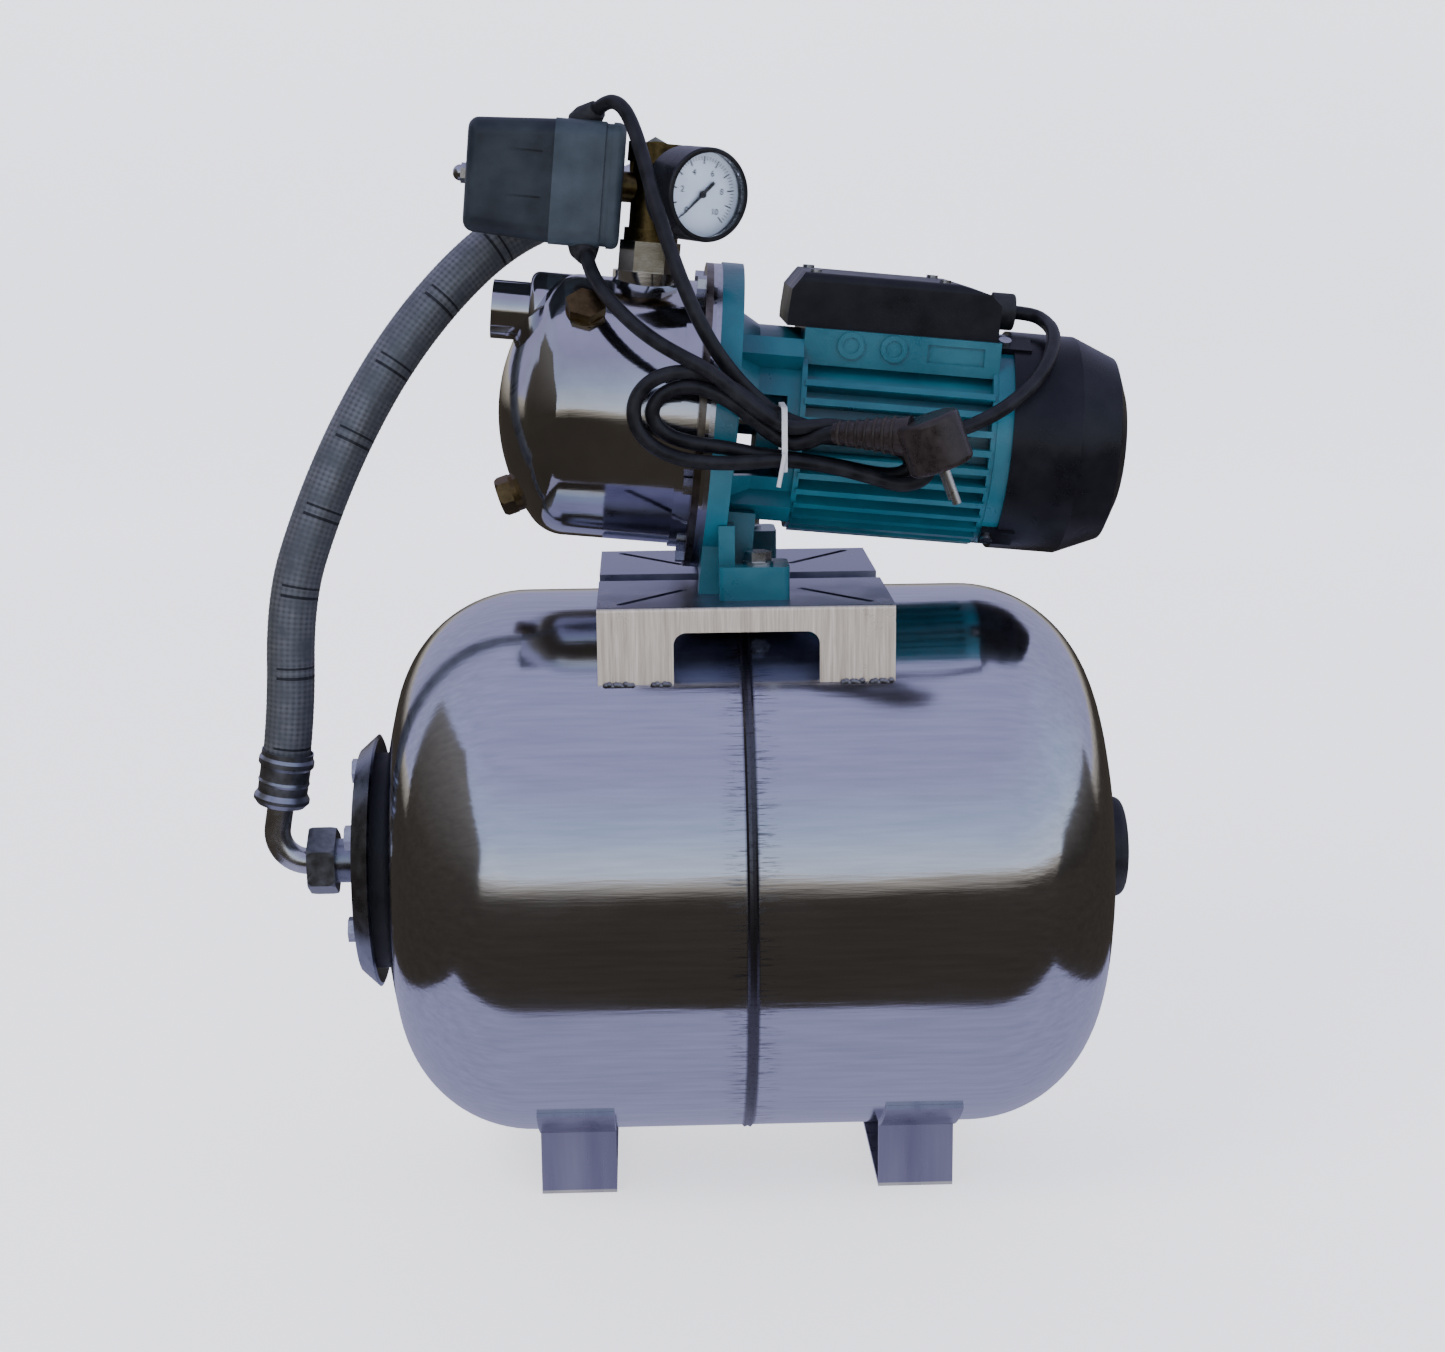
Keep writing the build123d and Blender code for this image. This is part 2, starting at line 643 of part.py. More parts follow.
# ---- wet end -----------------------------------------------------------------------
def make_casing():
    shell = dome_profile(
        CASING_R, CASING_KNUCKLE, CASING_DOME, CASING_LEFT, CASING_STEP_X, -1, CASING_WALL, 0.5
    )
    shell += xz_ring(CASING_R, 0, CASING_LEFT, CASING_LEFT + 1.6) & dome_solid(
        CASING_R, CASING_KNUCKLE, CASING_DOME, CASING_LEFT, CASING_STEP_X, -1
    )
    seal_x = BRACKET_FACE_X - SEAL_PLATE_T
    lip_x = seal_x - CASING_LIP_T
    step_r = CASING_R + CASING_STEP
    shell += xz_ring(step_r, CASING_R - CASING_WALL, CASING_STEP_X, seal_x)
    shell += xz_ring(RING_R, CASING_R - CASING_WALL, lip_x, seal_x)
    shell -= rod((CASING_LEFT - 5, 0, SUCTION_Z), (1, 0, 0), PASSAGE_R, 60)
    shell -= rod((DISCHARGE_X, 0, 60), (0, 0, 1), PORT_BORE_R, 40)
    shell -= rod(*plug_seat("drain"), PLUG_SHANK_R, 40)
    shell -= rod(*plug_seat("fill"), PLUG_SHANK_R, 40)
    hole = rod((lip_x - 1, CASING_BOLT_PCR, 0), (1, 0, 0), 3.3, 8)
    for cut in around(CASING_BOLT_COUNT, 22.5, hole):
        shell -= cut
    stub, boss = casing_ports()
    save("pump_casing", in_pump(shell + boss))
    save("suction_stub", in_pump(stub))

    clamp_x = lip_x - CLAMP_RING_T
    clamp = xz_ring(RING_R, step_r, clamp_x, lip_x)
    for cut in around(CASING_BOLT_COUNT, 22.5, Pos(-4, 0, 0) * hole):
        clamp -= cut
    save("casing_clamp_ring", in_pump(clamp))

    bolt = hex_bar((clamp_x - 5.0, CASING_BOLT_PCR, 0), (1, 0, 0), CASING_BOLT_FLATS, 5.0)
    bolt += rod((clamp_x, CASING_BOLT_PCR, 0), (1, 0, 0), 3.2, BRACKET_FACE_X + 8 - clamp_x)
    bolts = Compound(children=around(CASING_BOLT_COUNT, 22.5, bolt))
    save("casing_bolts", in_pump(bolts))

    plate = xz_ring(RING_R, 14.0, seal_x, BRACKET_FACE_X)
    plate += xz_ring(CASING_R - CASING_WALL - 2.5, 14.0, seal_x - 4.5, seal_x)
    for cut in around(CASING_BOLT_COUNT, 22.5, Pos(2, 0, 0) * hole):
        plate -= cut
    seat = xz_ring(14.0, SHAFT_R + 0.6, seal_x - 4.5, BRACKET_FACE_X)
    save("seal_plate", in_pump(plate + seat))
    o_ring = xz_ring(CASING_R - CASING_WALL, CASING_R - CASING_WALL - 2.5, seal_x - 3.5, seal_x)
    save("casing_o_ring", in_pump(o_ring))
    return seal_x


def plug_seat(which):
    """Inner end and direction of the drain and priming plugs."""
    if which == "drain":
        tip = math.radians(DRAIN_TIP)
        way = (-math.cos(tip), 0, -math.sin(tip))
        return along((DRAIN_FACE[0], 0, DRAIN_FACE[1]), way, -DRAIN_SHANK - DRAIN_HEAD), way
    lean = math.radians(FILL_LEAN)
    way = (0, -math.sin(lean), math.cos(lean))
    return along((FILL_X, 0, 0), way, CASING_R - 9), way


def casing_ports():
    """Suction stub with its pressed bulge, and the discharge boss, both welded on."""
    outside = dome_solid(
        CASING_R, CASING_KNUCKLE, CASING_DOME, CASING_LEFT, CASING_STEP_X, -1
    )
    bulge = rod((BULGE_X, 0, SUCTION_Z + 0.5), (1, 0, 0), BULGE_R, 42)
    bulge = fillet(bulge.edges().filter_by(GeomType.CIRCLE).sort_by(Axis.X)[:1], 5.0)
    bulge = bulge - outside
    stub = rod((SUCTION_X, 0, SUCTION_Z), (1, 0, 0), PORT_R, BULGE_X - SUCTION_X + 12) - outside
    port = bulge + stub - rod((SUCTION_X, 0, SUCTION_Z), (1, 0, 0), PORT_BORE_R, PORT_DEPTH)
    port -= rod((SUCTION_X - 1, 0, SUCTION_Z), (1, 0, 0), PASSAGE_R, 80)
    suction = port.solids().sort_by(SortBy.VOLUME)[-1]

    boss = rod((DISCHARGE_X, 0, CASING_R - 9), (0, 0, 1), 20.0, BOSS_TOP_Z - CASING_R + 9)
    boss -= xz_ring(CASING_R, 0, DISCHARGE_X - 30, DISCHARGE_X + 24.9)
    boss -= rod((DISCHARGE_X, 0, 60), (0, 0, 1), PORT_BORE_R, 40)
    return suction, boss


def make_plugs_and_nipple():
    outside = dome_solid(
        CASING_R, CASING_KNUCKLE, CASING_DOME, CASING_LEFT, CASING_STEP_X, -1
    )
    plugs = []
    for which, shank, head in (("drain", DRAIN_SHANK, DRAIN_HEAD), ("fill", FILL_SHANK, FILL_HEAD)):
        start, way = plug_seat(which)
        face = along(start, way, shank)
        plug = hex_bar(face, way, PLUG_FLATS, head, 15) & Pos(*face) * Sphere(PLUG_FLATS * 0.66)
        plug += rod(along(face, way, -4), way, PLUG_FLATS * 0.55, 4)
        plug -= outside
        plug += rod(start, way, PLUG_SHANK_R, shank)
        plugs.append(plug.solids().sort_by(SortBy.VOLUME)[-1])
    save("casing_plugs", in_pump(Compound(children=plugs)))

    height = NIPPLE_TOP_Z - BOSS_TOP_Z
    nipple = hex_bar((DISCHARGE_X, 0, BOSS_TOP_Z), (0, 0, 1), NIPPLE_FLATS, height)
    nipple -= rod((DISCHARGE_X, 0, BOSS_TOP_Z - 1), (0, 0, 1), 9.0, 30)
    save("hex_nipple", in_pump(nipple))


def make_hydraulics(seal_x):
    wall_x = seal_x - 4.5
    cup = xz_ring(WHEEL_R + 6, WHEEL_R + 3, -58, wall_x) + xz_ring(WHEEL_R + 6, 18.5, -62, -58)
    vane = block(-67, -61.5, 30, WHEEL_R + 2, -1.2, 1.2)
    cup += fused(around(9, 0, vane))
    save("diffuser", in_pump(cup))
    tube = turned(
        [
            (-112, 13), (-112, 17), (-96, 17), (-80, 11), (-72, 11), (-62, 18),
            (-62, 15), (-72, 8), (-80, 8), (-96, 13),
        ]
    )
    nozzle = turned(
        [(-122, 12), (-122, 17), (-112, 17), (-112, 13), (-101, 6), (-101, 4.5), (-112, 10)]
    )
    save("ejector", in_pump(tube + nozzle))

    wheel = xz_ring(WHEEL_R, SHAFT_R, -36, -33) + xz_ring(WHEEL_R, 18, -48, -46)
    wheel += xz_ring(14, SHAFT_R, -48, -33)
    blade = block(-46, -36, 17, WHEEL_R - 0.5, -1.1, 1.1)
    wheel += fused(around(6, 0, blade))
    save("impeller", in_pump(wheel))
    save("seal_head", in_pump(xz_ring(13, SHAFT_R, -32.6, wall_x - RUNNING)))


# ---- bracket and motor -----------------------------------------------------------------
def make_bracket():
    x0 = BRACKET_FACE_X
    x1 = x0 + BRACKET_FLANGE_T
    flange = xz_ring(BRACKET_R, 24, x0, x1)
    flange = fillet(flange.edges().filter_by(GeomType.CIRCLE).sort_by(Axis.X)[-1:], 2.0)
    cone = turned(
        [(x1, 62), (x1 + 12, 55), (HOUSING_X0, 55), (HOUSING_X0, 48), (x1 + 12, 48), (x1, 54)]
    )
    wall = xz_ring(55, BEARING_R, HOUSING_X0 - 5, HOUSING_X0)
    hub = xz_ring(27, BEARING_R, FRONT_BEARING_X, HOUSING_X0)
    hub += xz_ring(27, SHAFT_R + 1.5, FRONT_BEARING_X - 4, FRONT_BEARING_X)
    hub -= rod((FRONT_BEARING_X, 0, 0), (1, 0, 0), BEARING_R, 40)
    body = flange + cone + wall + hub
    lug = block(x1 - 1, HOUSING_X0, 54, 66, -6.5, 6.5)
    for angle in (45, 135, 225, 315):
        body += Rot(angle, 0, 0) * lug
    for way in (-1, 1):
        body -= block(x1 + 2, HOUSING_X0 - 7, way * 58 - 25, way * 58 + 25, -26, 20)
    legs = block(x0, x1 + 16, -58, 58, -105, -46)
    legs -= block(x1 + 2, x1 + 20, -44, 44, -130, -40)
    legs -= xz_ring(52, 0, x1, HOUSING_X0 + 2)
    body += legs
    hole = rod((x0 - 1, CASING_BOLT_PCR, 0), (1, 0, 0), 3.2, 9)
    for cut in around(CASING_BOLT_COUNT, 22.5, hole):
        body -= cut
    body = in_pump(body)

    bx0, bx1 = BRACKET_FOOT_X
    by0, by1 = BRACKET_FOOT_Y
    top = PLATE_TOP_Z + BRACKET_FOOT_H
    for way in (-1, 1):
        pad = block(bx0, bx1, min(way * by0, way * by1), max(way * by0, way * by1), PLATE_TOP_Z, top)
        pad = fillet(pad.edges().filter_by(Axis.Z), 4.0)
        body += pad
        rib_y = sorted((way * 30, way * (by1 - 8)))
        rib = block(bx0, bx0 + 9, rib_y[0], rib_y[1], PLATE_TOP_Z, top + 22)
        body += rib
    body -= block(-200, 200, -200, 200, PLATE_TOP_Z - 60, PLATE_TOP_Z)
    body -= Pos(0, 0, PLATE_TOP_Z) * extrude(Plane.YZ * RectangleRounded(2 * 40, 16, 5), 100, both=True)
    for way in (-1, 1):
        body -= rod((PUMP_BOLT_X, way * PUMP_BOLT_Y, PLATE_TOP_Z - 1), (0, 0, 1), 4.3, 40)
    save("motor_bracket", body.solids().sort_by(SortBy.VOLUME)[-1])

    bolts = []
    for way in (-1, 1):
        low = PLATE_TOP_Z - PLATE_T
        bolt = hex_bar((PUMP_BOLT_X, way * PUMP_BOLT_Y, top + 1.6), (0, 0, 1), 13.0, 5.4)
        bolt += rod((PUMP_BOLT_X, way * PUMP_BOLT_Y, top), (0, 0, 1), 8.5, 1.6)
        bolt += rod((PUMP_BOLT_X, way * PUMP_BOLT_Y, low - 9), (0, 0, 1), 4.0, top - low + 9)
        bolt += hex_bar((PUMP_BOLT_X, way * PUMP_BOLT_Y, low - 6.5), (0, 0, 1), 13.0, 6.5)
        bolts.append(bolt)
    save("pump_foot_bolts", Compound(children=bolts))


def make_motor():
    x0 = HOUSING_X0
    x1 = HOUSING_X1
    barrel = xz_ring(BARREL_R, BARREL_BORE_R, x0, x1)
    fin = block(x0 + 2, x1 - 2, BARREL_R - 1, FIN_R, -FIN_T / 2, FIN_T / 2)
    lowest = -90
    angle = FIN_FIRST
    fins = []
    while angle > lowest - 1:
        fins.append(Rot(angle, 0, 0) * fin)
        if angle > lowest + 1:
            fins.append(Rot(180 - angle, 0, 0) * fin)
        angle -= FIN_PITCH
    body = barrel + fins
    for end in (x0, x1 - 3):
        body += xz_ring(FIN_R - 1.5, BARREL_BORE_R, end, end + 3)
    pad = block(x0, x1, -PAD_HALF_Y, PAD_HALF_Y, PAD_BOTTOM_Z - 8, PAD_TOP_Z)
    pad = pad - block(x0 - 1, x1 + 1, -60, 60, 0, PAD_BOTTOM_Z) - xz_ring(BARREL_R - 2, 0, x0 - 1, x1 + 1)
    body += pad
    for x in (57.0, 81.0):
        for way in (-1, 1):
            start = (x, way * (PAD_HALF_Y - 1), (PAD_TOP_Z + PAD_BOTTOM_Z) / 2 + 2)
            knob = rod(start, (0, way, 0), 7.4, 2.4)
            knob -= rod(along(start, (0, way, 0), 1.6), (0, way, 0), 4.6, 3)
            body += knob
    body -= block(100, 132, -PAD_HALF_Y - 1, -PAD_HALF_Y + 1.2, 44, 54)
    body -= block(x0 - 1, x1 + 1, -60, 60, PAD_TOP_Z, PAD_TOP_Z + 20)
    save("motor_housing", in_pump(body))

    shield = xz_ring(SHIELD_R, BEARING_R, x1, x1 + 4) + xz_ring(SHIELD_R, SHIELD_R - 6, x1, SHIELD_X1)
    spigot_r = FAN_COVER_R - FAN_COVER_WALL
    shield += xz_ring(spigot_r - 2.0, spigot_r - 6, SHIELD_X1 - 1, SHIELD_X1 + 6)
    hub_x1 = REAR_BEARING_X + BEARING_W
    shield += xz_ring(27, BEARING_R, x1 - 3, hub_x1) + xz_ring(27, SHAFT_R + 1.5, hub_x1, hub_x1 + 3)
    for angle in EAR_ANGLES:
        shield -= Rot(angle, 0, 0) * rod((x1 + 4, SHIELD_R - 8, 0), (0, 1, 0), 2.1, 20)
    save("rear_end_shield", in_pump(shield))

    save("stator_core", in_pump(xz_ring(BARREL_BORE_R, ROTOR_R + AIR_GAP, STACK_X0, STACK_X1)))
    coils = xz_ring(42, 29, STACK_X0 - 12, STACK_X0) + xz_ring(42, 29, STACK_X1, STACK_X1 + 12)
    save("stator_windings", in_pump(coils))
    save("rotor_core", in_pump(xz_ring(ROTOR_R, SHAFT_R, STACK_X0, STACK_X1)))
    shaft = rod((-52, 0, 0), (1, 0, 0), SHAFT_R, 232)
    save("motor_shaft", in_pump(shaft))
    races = []
    for x in (FRONT_BEARING_X, REAR_BEARING_X):
        races.append(xz_ring(BEARING_R, SHAFT_R + RUNNING, x, x + BEARING_W))
    save("motor_bearings", in_pump(Compound(children=races)))


def make_fan_cover():
    x0 = SHIELD_X1
    r = FAN_COVER_R
    w = FAN_COVER_WALL
    end = FAN_COVER_X1
    shell = turned(
        [
            (x0, r), (end - 32, r), (end - 8, r - 10), (end - 1.5, r - 26), (end, 8), (end, 0),
            (end - w, 0), (end - w, 8), (end - w - 1.5, r - 27), (end - 10, r - 12),
            (end - 33, r - w), (x0, r - w),
        ]
    )
    slot = block(end - 14, end + 4, 15, 33, -1.5, 1.5)
    for cut in around(20, 0, slot):
        shell -= cut
    ear_x = x0 - 5
    for angle in EAR_ANGLES:
        ear = block(HOUSING_X1 + 0.3, x0 + 10, SHIELD_R - 3, r + EAR_RISE, -7, 7)
        ear -= xz_ring(SHIELD_R, 0, x0 - 20, x0 + 20)
        shell += Rot(angle, 0, 0) * ear
        shell -= Rot(angle, 0, 0) * rod((ear_x, r - 8, 0), (0, 1, 0), 2.1, 20)
    save("fan_cover", in_pump(shell))
    screw = rod((ear_x, SHIELD_R - 5, 0), (0, 1, 0), 2.1, r + EAR_RISE - SHIELD_R + 5)
    screw += rod((ear_x, r + EAR_RISE, 0), (0, 1, 0), 3.6, 1.8)
    return [Rot(angle, 0, 0) * screw for angle in EAR_ANGLES]


def make_fan():
    fan = xz_ring(13, SHAFT_R, 160, 178) + xz_ring(24, SHAFT_R, 160, 162.5)
    blade = block(161, 180, 12, 50, -1.2, 1.2)
    fan += fused(around(8, 0, blade))
    fan -= xz_ring(SHAFT_R, 0, 150, 200)
    save("cooling_fan", in_pump(fan))


def box_outline(grow):
    """Side outline of the terminal box, drawn in by a wall."""
    x0 = BOX_X0 + grow
    x1 = BOX_X1 - grow
    top = BOX_TOP_Z - grow
    low = BOX_SPLIT_Z
    return [
        (x0, low), (x0 + 1, top - 10), (x0 + 8, top), (x1 - 25, top),
        (x1 - 7, top - 4), (x1, top - 10), (x1, low),
    ]


def make_terminal_box(screws):
    """Box, lid, capacitor and gland; the fan cover screws share the screw node."""
    face = Plane.XZ * make_face(Polyline(*box_outline(0), close=True))
    outer = extrude(face, BOX_HALF_Y, both=True)
    corners = outer.edges().filter_by(Axis.X).sort_by(Axis.Z)[-2:]
    outer = fillet(corners, 5.0)
    face = Plane.XZ * make_face(Polyline(*box_outline(BOX_WALL), close=True))
    inner = extrude(face, BOX_HALF_Y - BOX_WALL, both=True)
    cover = outer - inner
    cover -= rod((BOX_X1 - 8, 0, BOX_GLAND_Z), (1, 0, 0), 7.0, 12)
    save("terminal_box_cover", in_pump(cover))

    base = block(BOX_X0, BOX_X1, -BOX_HALF_Y, BOX_HALF_Y, PAD_TOP_Z, BOX_SPLIT_Z)
    base -= block(BOX_X0 + 3, BOX_X1 - 3, -BOX_HALF_Y + 3, BOX_HALF_Y - 3, PAD_TOP_Z + 2.5, BOX_SPLIT_Z + 1)
    base += block(60, 100, -30, -14, PAD_TOP_Z + 2.5, PAD_TOP_Z + 16.5)
    save("terminal_box_base", in_pump(base))
    for x in (BOX_X0 + 14, BOX_X1 - 32):
        for y in (-BOX_HALF_Y + 9, BOX_HALF_Y - 9):
            screws.append(rod((x, y, BOX_TOP_Z), (0, 0, 1), 3.4, 1.6))
    save("motor_screws", in_pump(Compound(children=screws)))
    low = PAD_TOP_Z + 2.5
    save("capacitor", in_pump(rod((BOX_X0 + 12, 12, low + 12), (1, 0, 0), 12, 68)))

    gland = rod((BOX_X1 - 4, 0, BOX_GLAND_Z), (1, 0, 0), 6.9, 6)
    gland += rod((BOX_X1, 0, BOX_GLAND_Z), (1, 0, 0), BOX_GLAND_R, BOX_GLAND_L)
    gland = fillet(gland.edges().filter_by(GeomType.CIRCLE).sort_by(Axis.X)[-1:], 1.5)
    gland -= rod((BOX_X1 - 5, 0, BOX_GLAND_Z), (1, 0, 0), LEAD_D / 2, 12)
    return gland, pump_point(BOX_X1 + BOX_GLAND_L, 0, BOX_GLAND_Z), pump_direction(1, 0, 0)


# ---- five-way fitting, gauge and pressure switch ------------------------------------------
def make_fitting():
    x = DISCHARGE_X
    up = (0, 0, 1)
    body = rod((x, 0, NIPPLE_TOP_Z), up, FITTING_R + 2.4, 7)
    body += rod((x, 0, NIPPLE_TOP_Z), up, FITTING_R, FITTING_TOP_Z - NIPPLE_TOP_Z)
    body += rod((x, 0, FITTING_TOP_Z - 11), up, FITTING_COLLAR_R, 11)
    body += rod((x, 0, HOSE_PORT_Z), (0, 1, 0), THREAD_R, 29.5)
    body += rod((x, 14, HOSE_PORT_Z), (0, 1, 0), THREAD_R + 1.4, 8)
    body += rod((x, 0, PORT_Z), (-1, 0, 0), 8.5, x - SWITCH_X1)
    turn = math.radians(GAUGE_TURN)
    way = (math.sin(turn), -math.cos(turn), 0)
    body += rod((x, 0, PORT_Z), way, 10.5, 22)
    body -= rod((x, 0, NIPPLE_TOP_Z - 1), up, 8.5, FITTING_TOP_Z)
    body -= rod((x, 0, FITTING_TOP_Z - 14), up, OUTLET_BORE_R, 20)
    body -= rod((x, 0, HOSE_PORT_Z), (0, 1, 0), 8.5, 40)
    body -= rod((x, 0, PORT_Z), (-1, 0, 0), 3.0, 40)
    body -= rod((x, 0, PORT_Z), way, 3.0, 40)
    save("five_way_fitting", in_pump(body))
    return way


def make_gauge(way):
    centre = (DISCHARGE_X, 0, PORT_Z)
    back = GAUGE_FRONT - GAUGE_DEPTH
    stem = hex_bar(along(centre, way, 22), way, 14.0, back - 22)
    stem -= rod(along(centre, way, 20), way, 2.5, 40)
    case = rod(along(centre, way, back), way, GAUGE_R, GAUGE_DEPTH)
    case -= rod(along(centre, way, back + 2), way, GAUGE_R - 2, GAUGE_DEPTH - 2 - 3)
    case -= rod(along(centre, way, GAUGE_FRONT - 4), way, DIAL_R, 6)
    rim = case.edges().filter_by(GeomType.CIRCLE).filter_by(lambda e: abs(e.radius - GAUGE_R) < 0.01)
    case = fillet(rim, 1.2) + stem
    save("gauge_case", in_pump(case))
    dial_at = GAUGE_FRONT - 9
    dial = rod(along(centre, way, dial_at), way, GAUGE_R - 2.1, 1.0)
    dial -= rod(along(centre, way, dial_at - 1), way, 1.0 + RUNNING, 4)
    save("gauge_dial", in_pump(dial))
    save("gauge_lens", in_pump(rod(along(centre, way, GAUGE_FRONT - 3.2), way, DIAL_R - 0.05, 1.8)))

    pivot = along(centre, way, dial_at - 1)
    zero = math.radians(225)
    across = (math.cos(math.radians(GAUGE_TURN)), math.sin(math.radians(GAUGE_TURN)), 0)
    place = Plane(origin=along(centre, way, dial_at + 2.0), x_dir=across, z_dir=way)
    tip = DIAL_R - 5.5
    blade = Rot(0, 0, math.degrees(zero)) * make_face(
        Polyline((-9.5, -0.9), (-9.5, 0.9), (-1, 0.9), (tip, 0.25), (tip, -0.25), (-1, -0.9), close=True)
    )
    needle = place * extrude(blade, 0.6) + rod(pivot, way, 1.0, 4.2) + rod(
        along(centre, way, dial_at + 1.6), way, 2.0, 1.4
    )
    save("gauge_needle", in_pump(needle))
    print("needle pivot mm", pump_point(*pivot), "axis", pump_direction(*way))


def switch_section(half_y, half_z, corner, x):
    """A rounded rectangle across the switch's length."""
    plane = Plane(origin=(x, 0, PORT_Z), x_dir=(0, 1, 0), z_dir=(-1, 0, 0))
    return plane * RectangleRounded(2 * half_y, 2 * half_z, corner)


def make_switch(box_gland):
    """The switch; the gland of the terminal box shares the gland node."""
    x1 = SWITCH_X1
    xs = SWITCH_SPLIT_X
    x0 = SWITCH_X0
    base = extrude(switch_section(SWITCH_HALF_Y, SWITCH_HALF_Z, 9, x1), x1 - xs)
    rear = base.faces().sort_by(Axis.X)[-1].edges()
    base = fillet(rear, 4.0)
    base -= extrude(switch_section(SWITCH_HALF_Y - SWITCH_WALL, SWITCH_HALF_Z - SWITCH_WALL, 7, x1 - 4), 60)
    groove = extrude(switch_section(40, 40, 2, x1 - 7), 4) - extrude(
        switch_section(SWITCH_HALF_Y - 0.9, SWITCH_HALF_Z - 0.9, 8.2, x1 - 6), 6
    )
    base -= groove
    base -= rod((x1 + 1, 0, PORT_Z), (-1, 0, 0), 3.0, 20)

    cover = loft(
        [
            switch_section(SWITCH_HALF_Y - 0.6, SWITCH_HALF_Z - 0.6, 9, xs),
            switch_section(SWITCH_HALF_Y - 3, SWITCH_END_HALF_Z, 9, x0),
        ]
    )
    cover = fillet(cover.faces().sort_by(Axis.X)[0].edges(), 6.0)
    cover -= loft(
        [
            switch_section(SWITCH_HALF_Y - 3.1, SWITCH_HALF_Z - 3.1, 7, xs),
            switch_section(SWITCH_HALF_Y - 5.5, SWITCH_END_HALF_Z - 2.5, 7, x0 + 3),
        ]
    )
    for z in (-10, 15):
        cover -= block(x0 - 1, xs - 6, -SWITCH_HALF_Y - 1, -SWITCH_HALF_Y + 2.0, PORT_Z + z, PORT_Z + z + 1.2)
        cover -= block(x0 - 1, xs - 6, SWITCH_HALF_Y - 2.0, SWITCH_HALF_Y + 1, PORT_Z + z, PORT_Z + z + 1.2)
    cover -= rod((x0 - 5, 0, PORT_Z), (1, 0, 0), 3.2, 20)
    save("switch_cover", in_pump(cover))

    diaphragm = xz_ring(22, 0, 0, 1.6)
    save("switch_diaphragm", in_pump(Pos(x1 - 5.6, 0, PORT_Z) * diaphragm))
    piston = xz_ring(12, 0, 0, 6)
    save("switch_piston", in_pump(Pos(x1 - 11.7, 0, PORT_Z) * piston))
    stud = rod((xs + 18, 0, PORT_Z), (-1, 0, 0), 3.0, xs + 18 - x0 + 3)
    stud += block(xs + 18, xs + 20, -20, 20, PORT_Z - 28, PORT_Z - 8)
    stud += block(xs + 18, xs + 20, -6, 6, PORT_Z - 10, PORT_Z + 3)
    spring = Pos(0, 0, PORT_Z) * xz_ring(7, 4.5, xs - 20, xs + 14)
    save("switch_spring_post", in_pump(Compound(children=[stud, spring])))
    lever_x = xs + 24
    lever = block(lever_x - 1.2, lever_x + 1.2, -8, 8, PORT_Z - 20, PORT_Z + 26)
    lever += rod((lever_x, -8, PORT_Z - 22), (0, 1, 0), 3.0, 16)
    save("switch_lever", in_pump(lever))
    print("lever pivot mm", pump_point(lever_x, 0, PORT_Z - 22))
    base += block(xs + 3, xs + 15, -22, 22, PORT_Z + 18, PORT_Z + SWITCH_HALF_Z - 1)

    crown = rod((x0 - 2.0, 0, PORT_Z), (-1, 0, 0), 4.6, 6.6)
    crown = fillet(crown.edges().filter_by(GeomType.CIRCLE).sort_by(Axis.X)[:1], 4.2)
    nut = hex_bar((x0, 0, PORT_Z), (-1, 0, 0), 10.0, 4.0) + crown
    nut -= rod((x0 + 1, 0, PORT_Z), (-1, 0, 0), 3.0, 4)
    save("switch_cap_nut", in_pump(nut))

    glands = []
    ends = []
    for start, way in switch_gland_seats():
        place = Plane(origin=along(start, way, -5), z_dir=way)
        boot = place * revolve(
            Plane.XZ * make_face(
                Polyline((LEAD_D / 2, 0), (8.6, 0), (8.6, 6), (5.6, 15), (LEAD_D / 2, 15), close=True)
            ),
            Axis.Z,
        )
        glands.append(boot)
        tip = along(start, way, 10)
        ends.append((pump_point(*tip), pump_direction(*way)))
    inside = extrude(switch_section(SWITCH_HALF_Y - SWITCH_WALL, SWITCH_HALF_Z - SWITCH_WALL, 7, x1 - 4), 60)
    for boot in glands:
        base -= boot
    for start, way in switch_gland_seats():
        base -= rod(along(start, way, -14), way, LEAD_D / 2, 28)
    save("switch_base", in_pump(base))
    soft = [boot - inside for boot in glands]
    save("cable_glands", in_pump(Compound(children=soft + [box_gland])))
    return ends


def switch_gland_seats():
    lower = (SWITCH_GLAND_X, -18, PORT_Z - SWITCH_HALF_Z)
    upper = (SWITCH_GLAND_X - 4, -12, PORT_Z + SWITCH_HALF_Z)
    return ((lower, (0.20, -0.85, -0.49)), (upper, (0.60, -0.50, 0.62)))


# ---- leads, hank, plug and tie ---------------------------------------------------------------
def make_hank():
    plane = Plane(origin=(0, HANK_Y[1], 0), x_dir=(1, 0, 0), z_dir=(0, -1, 0))
    outer = make_face(Polyline(*HANK_OUTLINE, close=True))
    outer = fillet(outer.vertices(), 5.0)
    hole = make_face(Polyline(*HANK_HOLE, close=True))
    hole = fillet(hole.vertices(), 2.0)
    solid = extrude(plane * (outer - hole), HANK_Y[1] - HANK_Y[0])
    save("mains_hank", solid)


def plug_frame():
    """Right-angle plug: pins point down and a little right, the lead leaves left."""
    lean = math.radians(PLUG_LEAN)
    return (math.sin(lean), 0, -math.cos(lean)), PLUG_LEAD_WAY


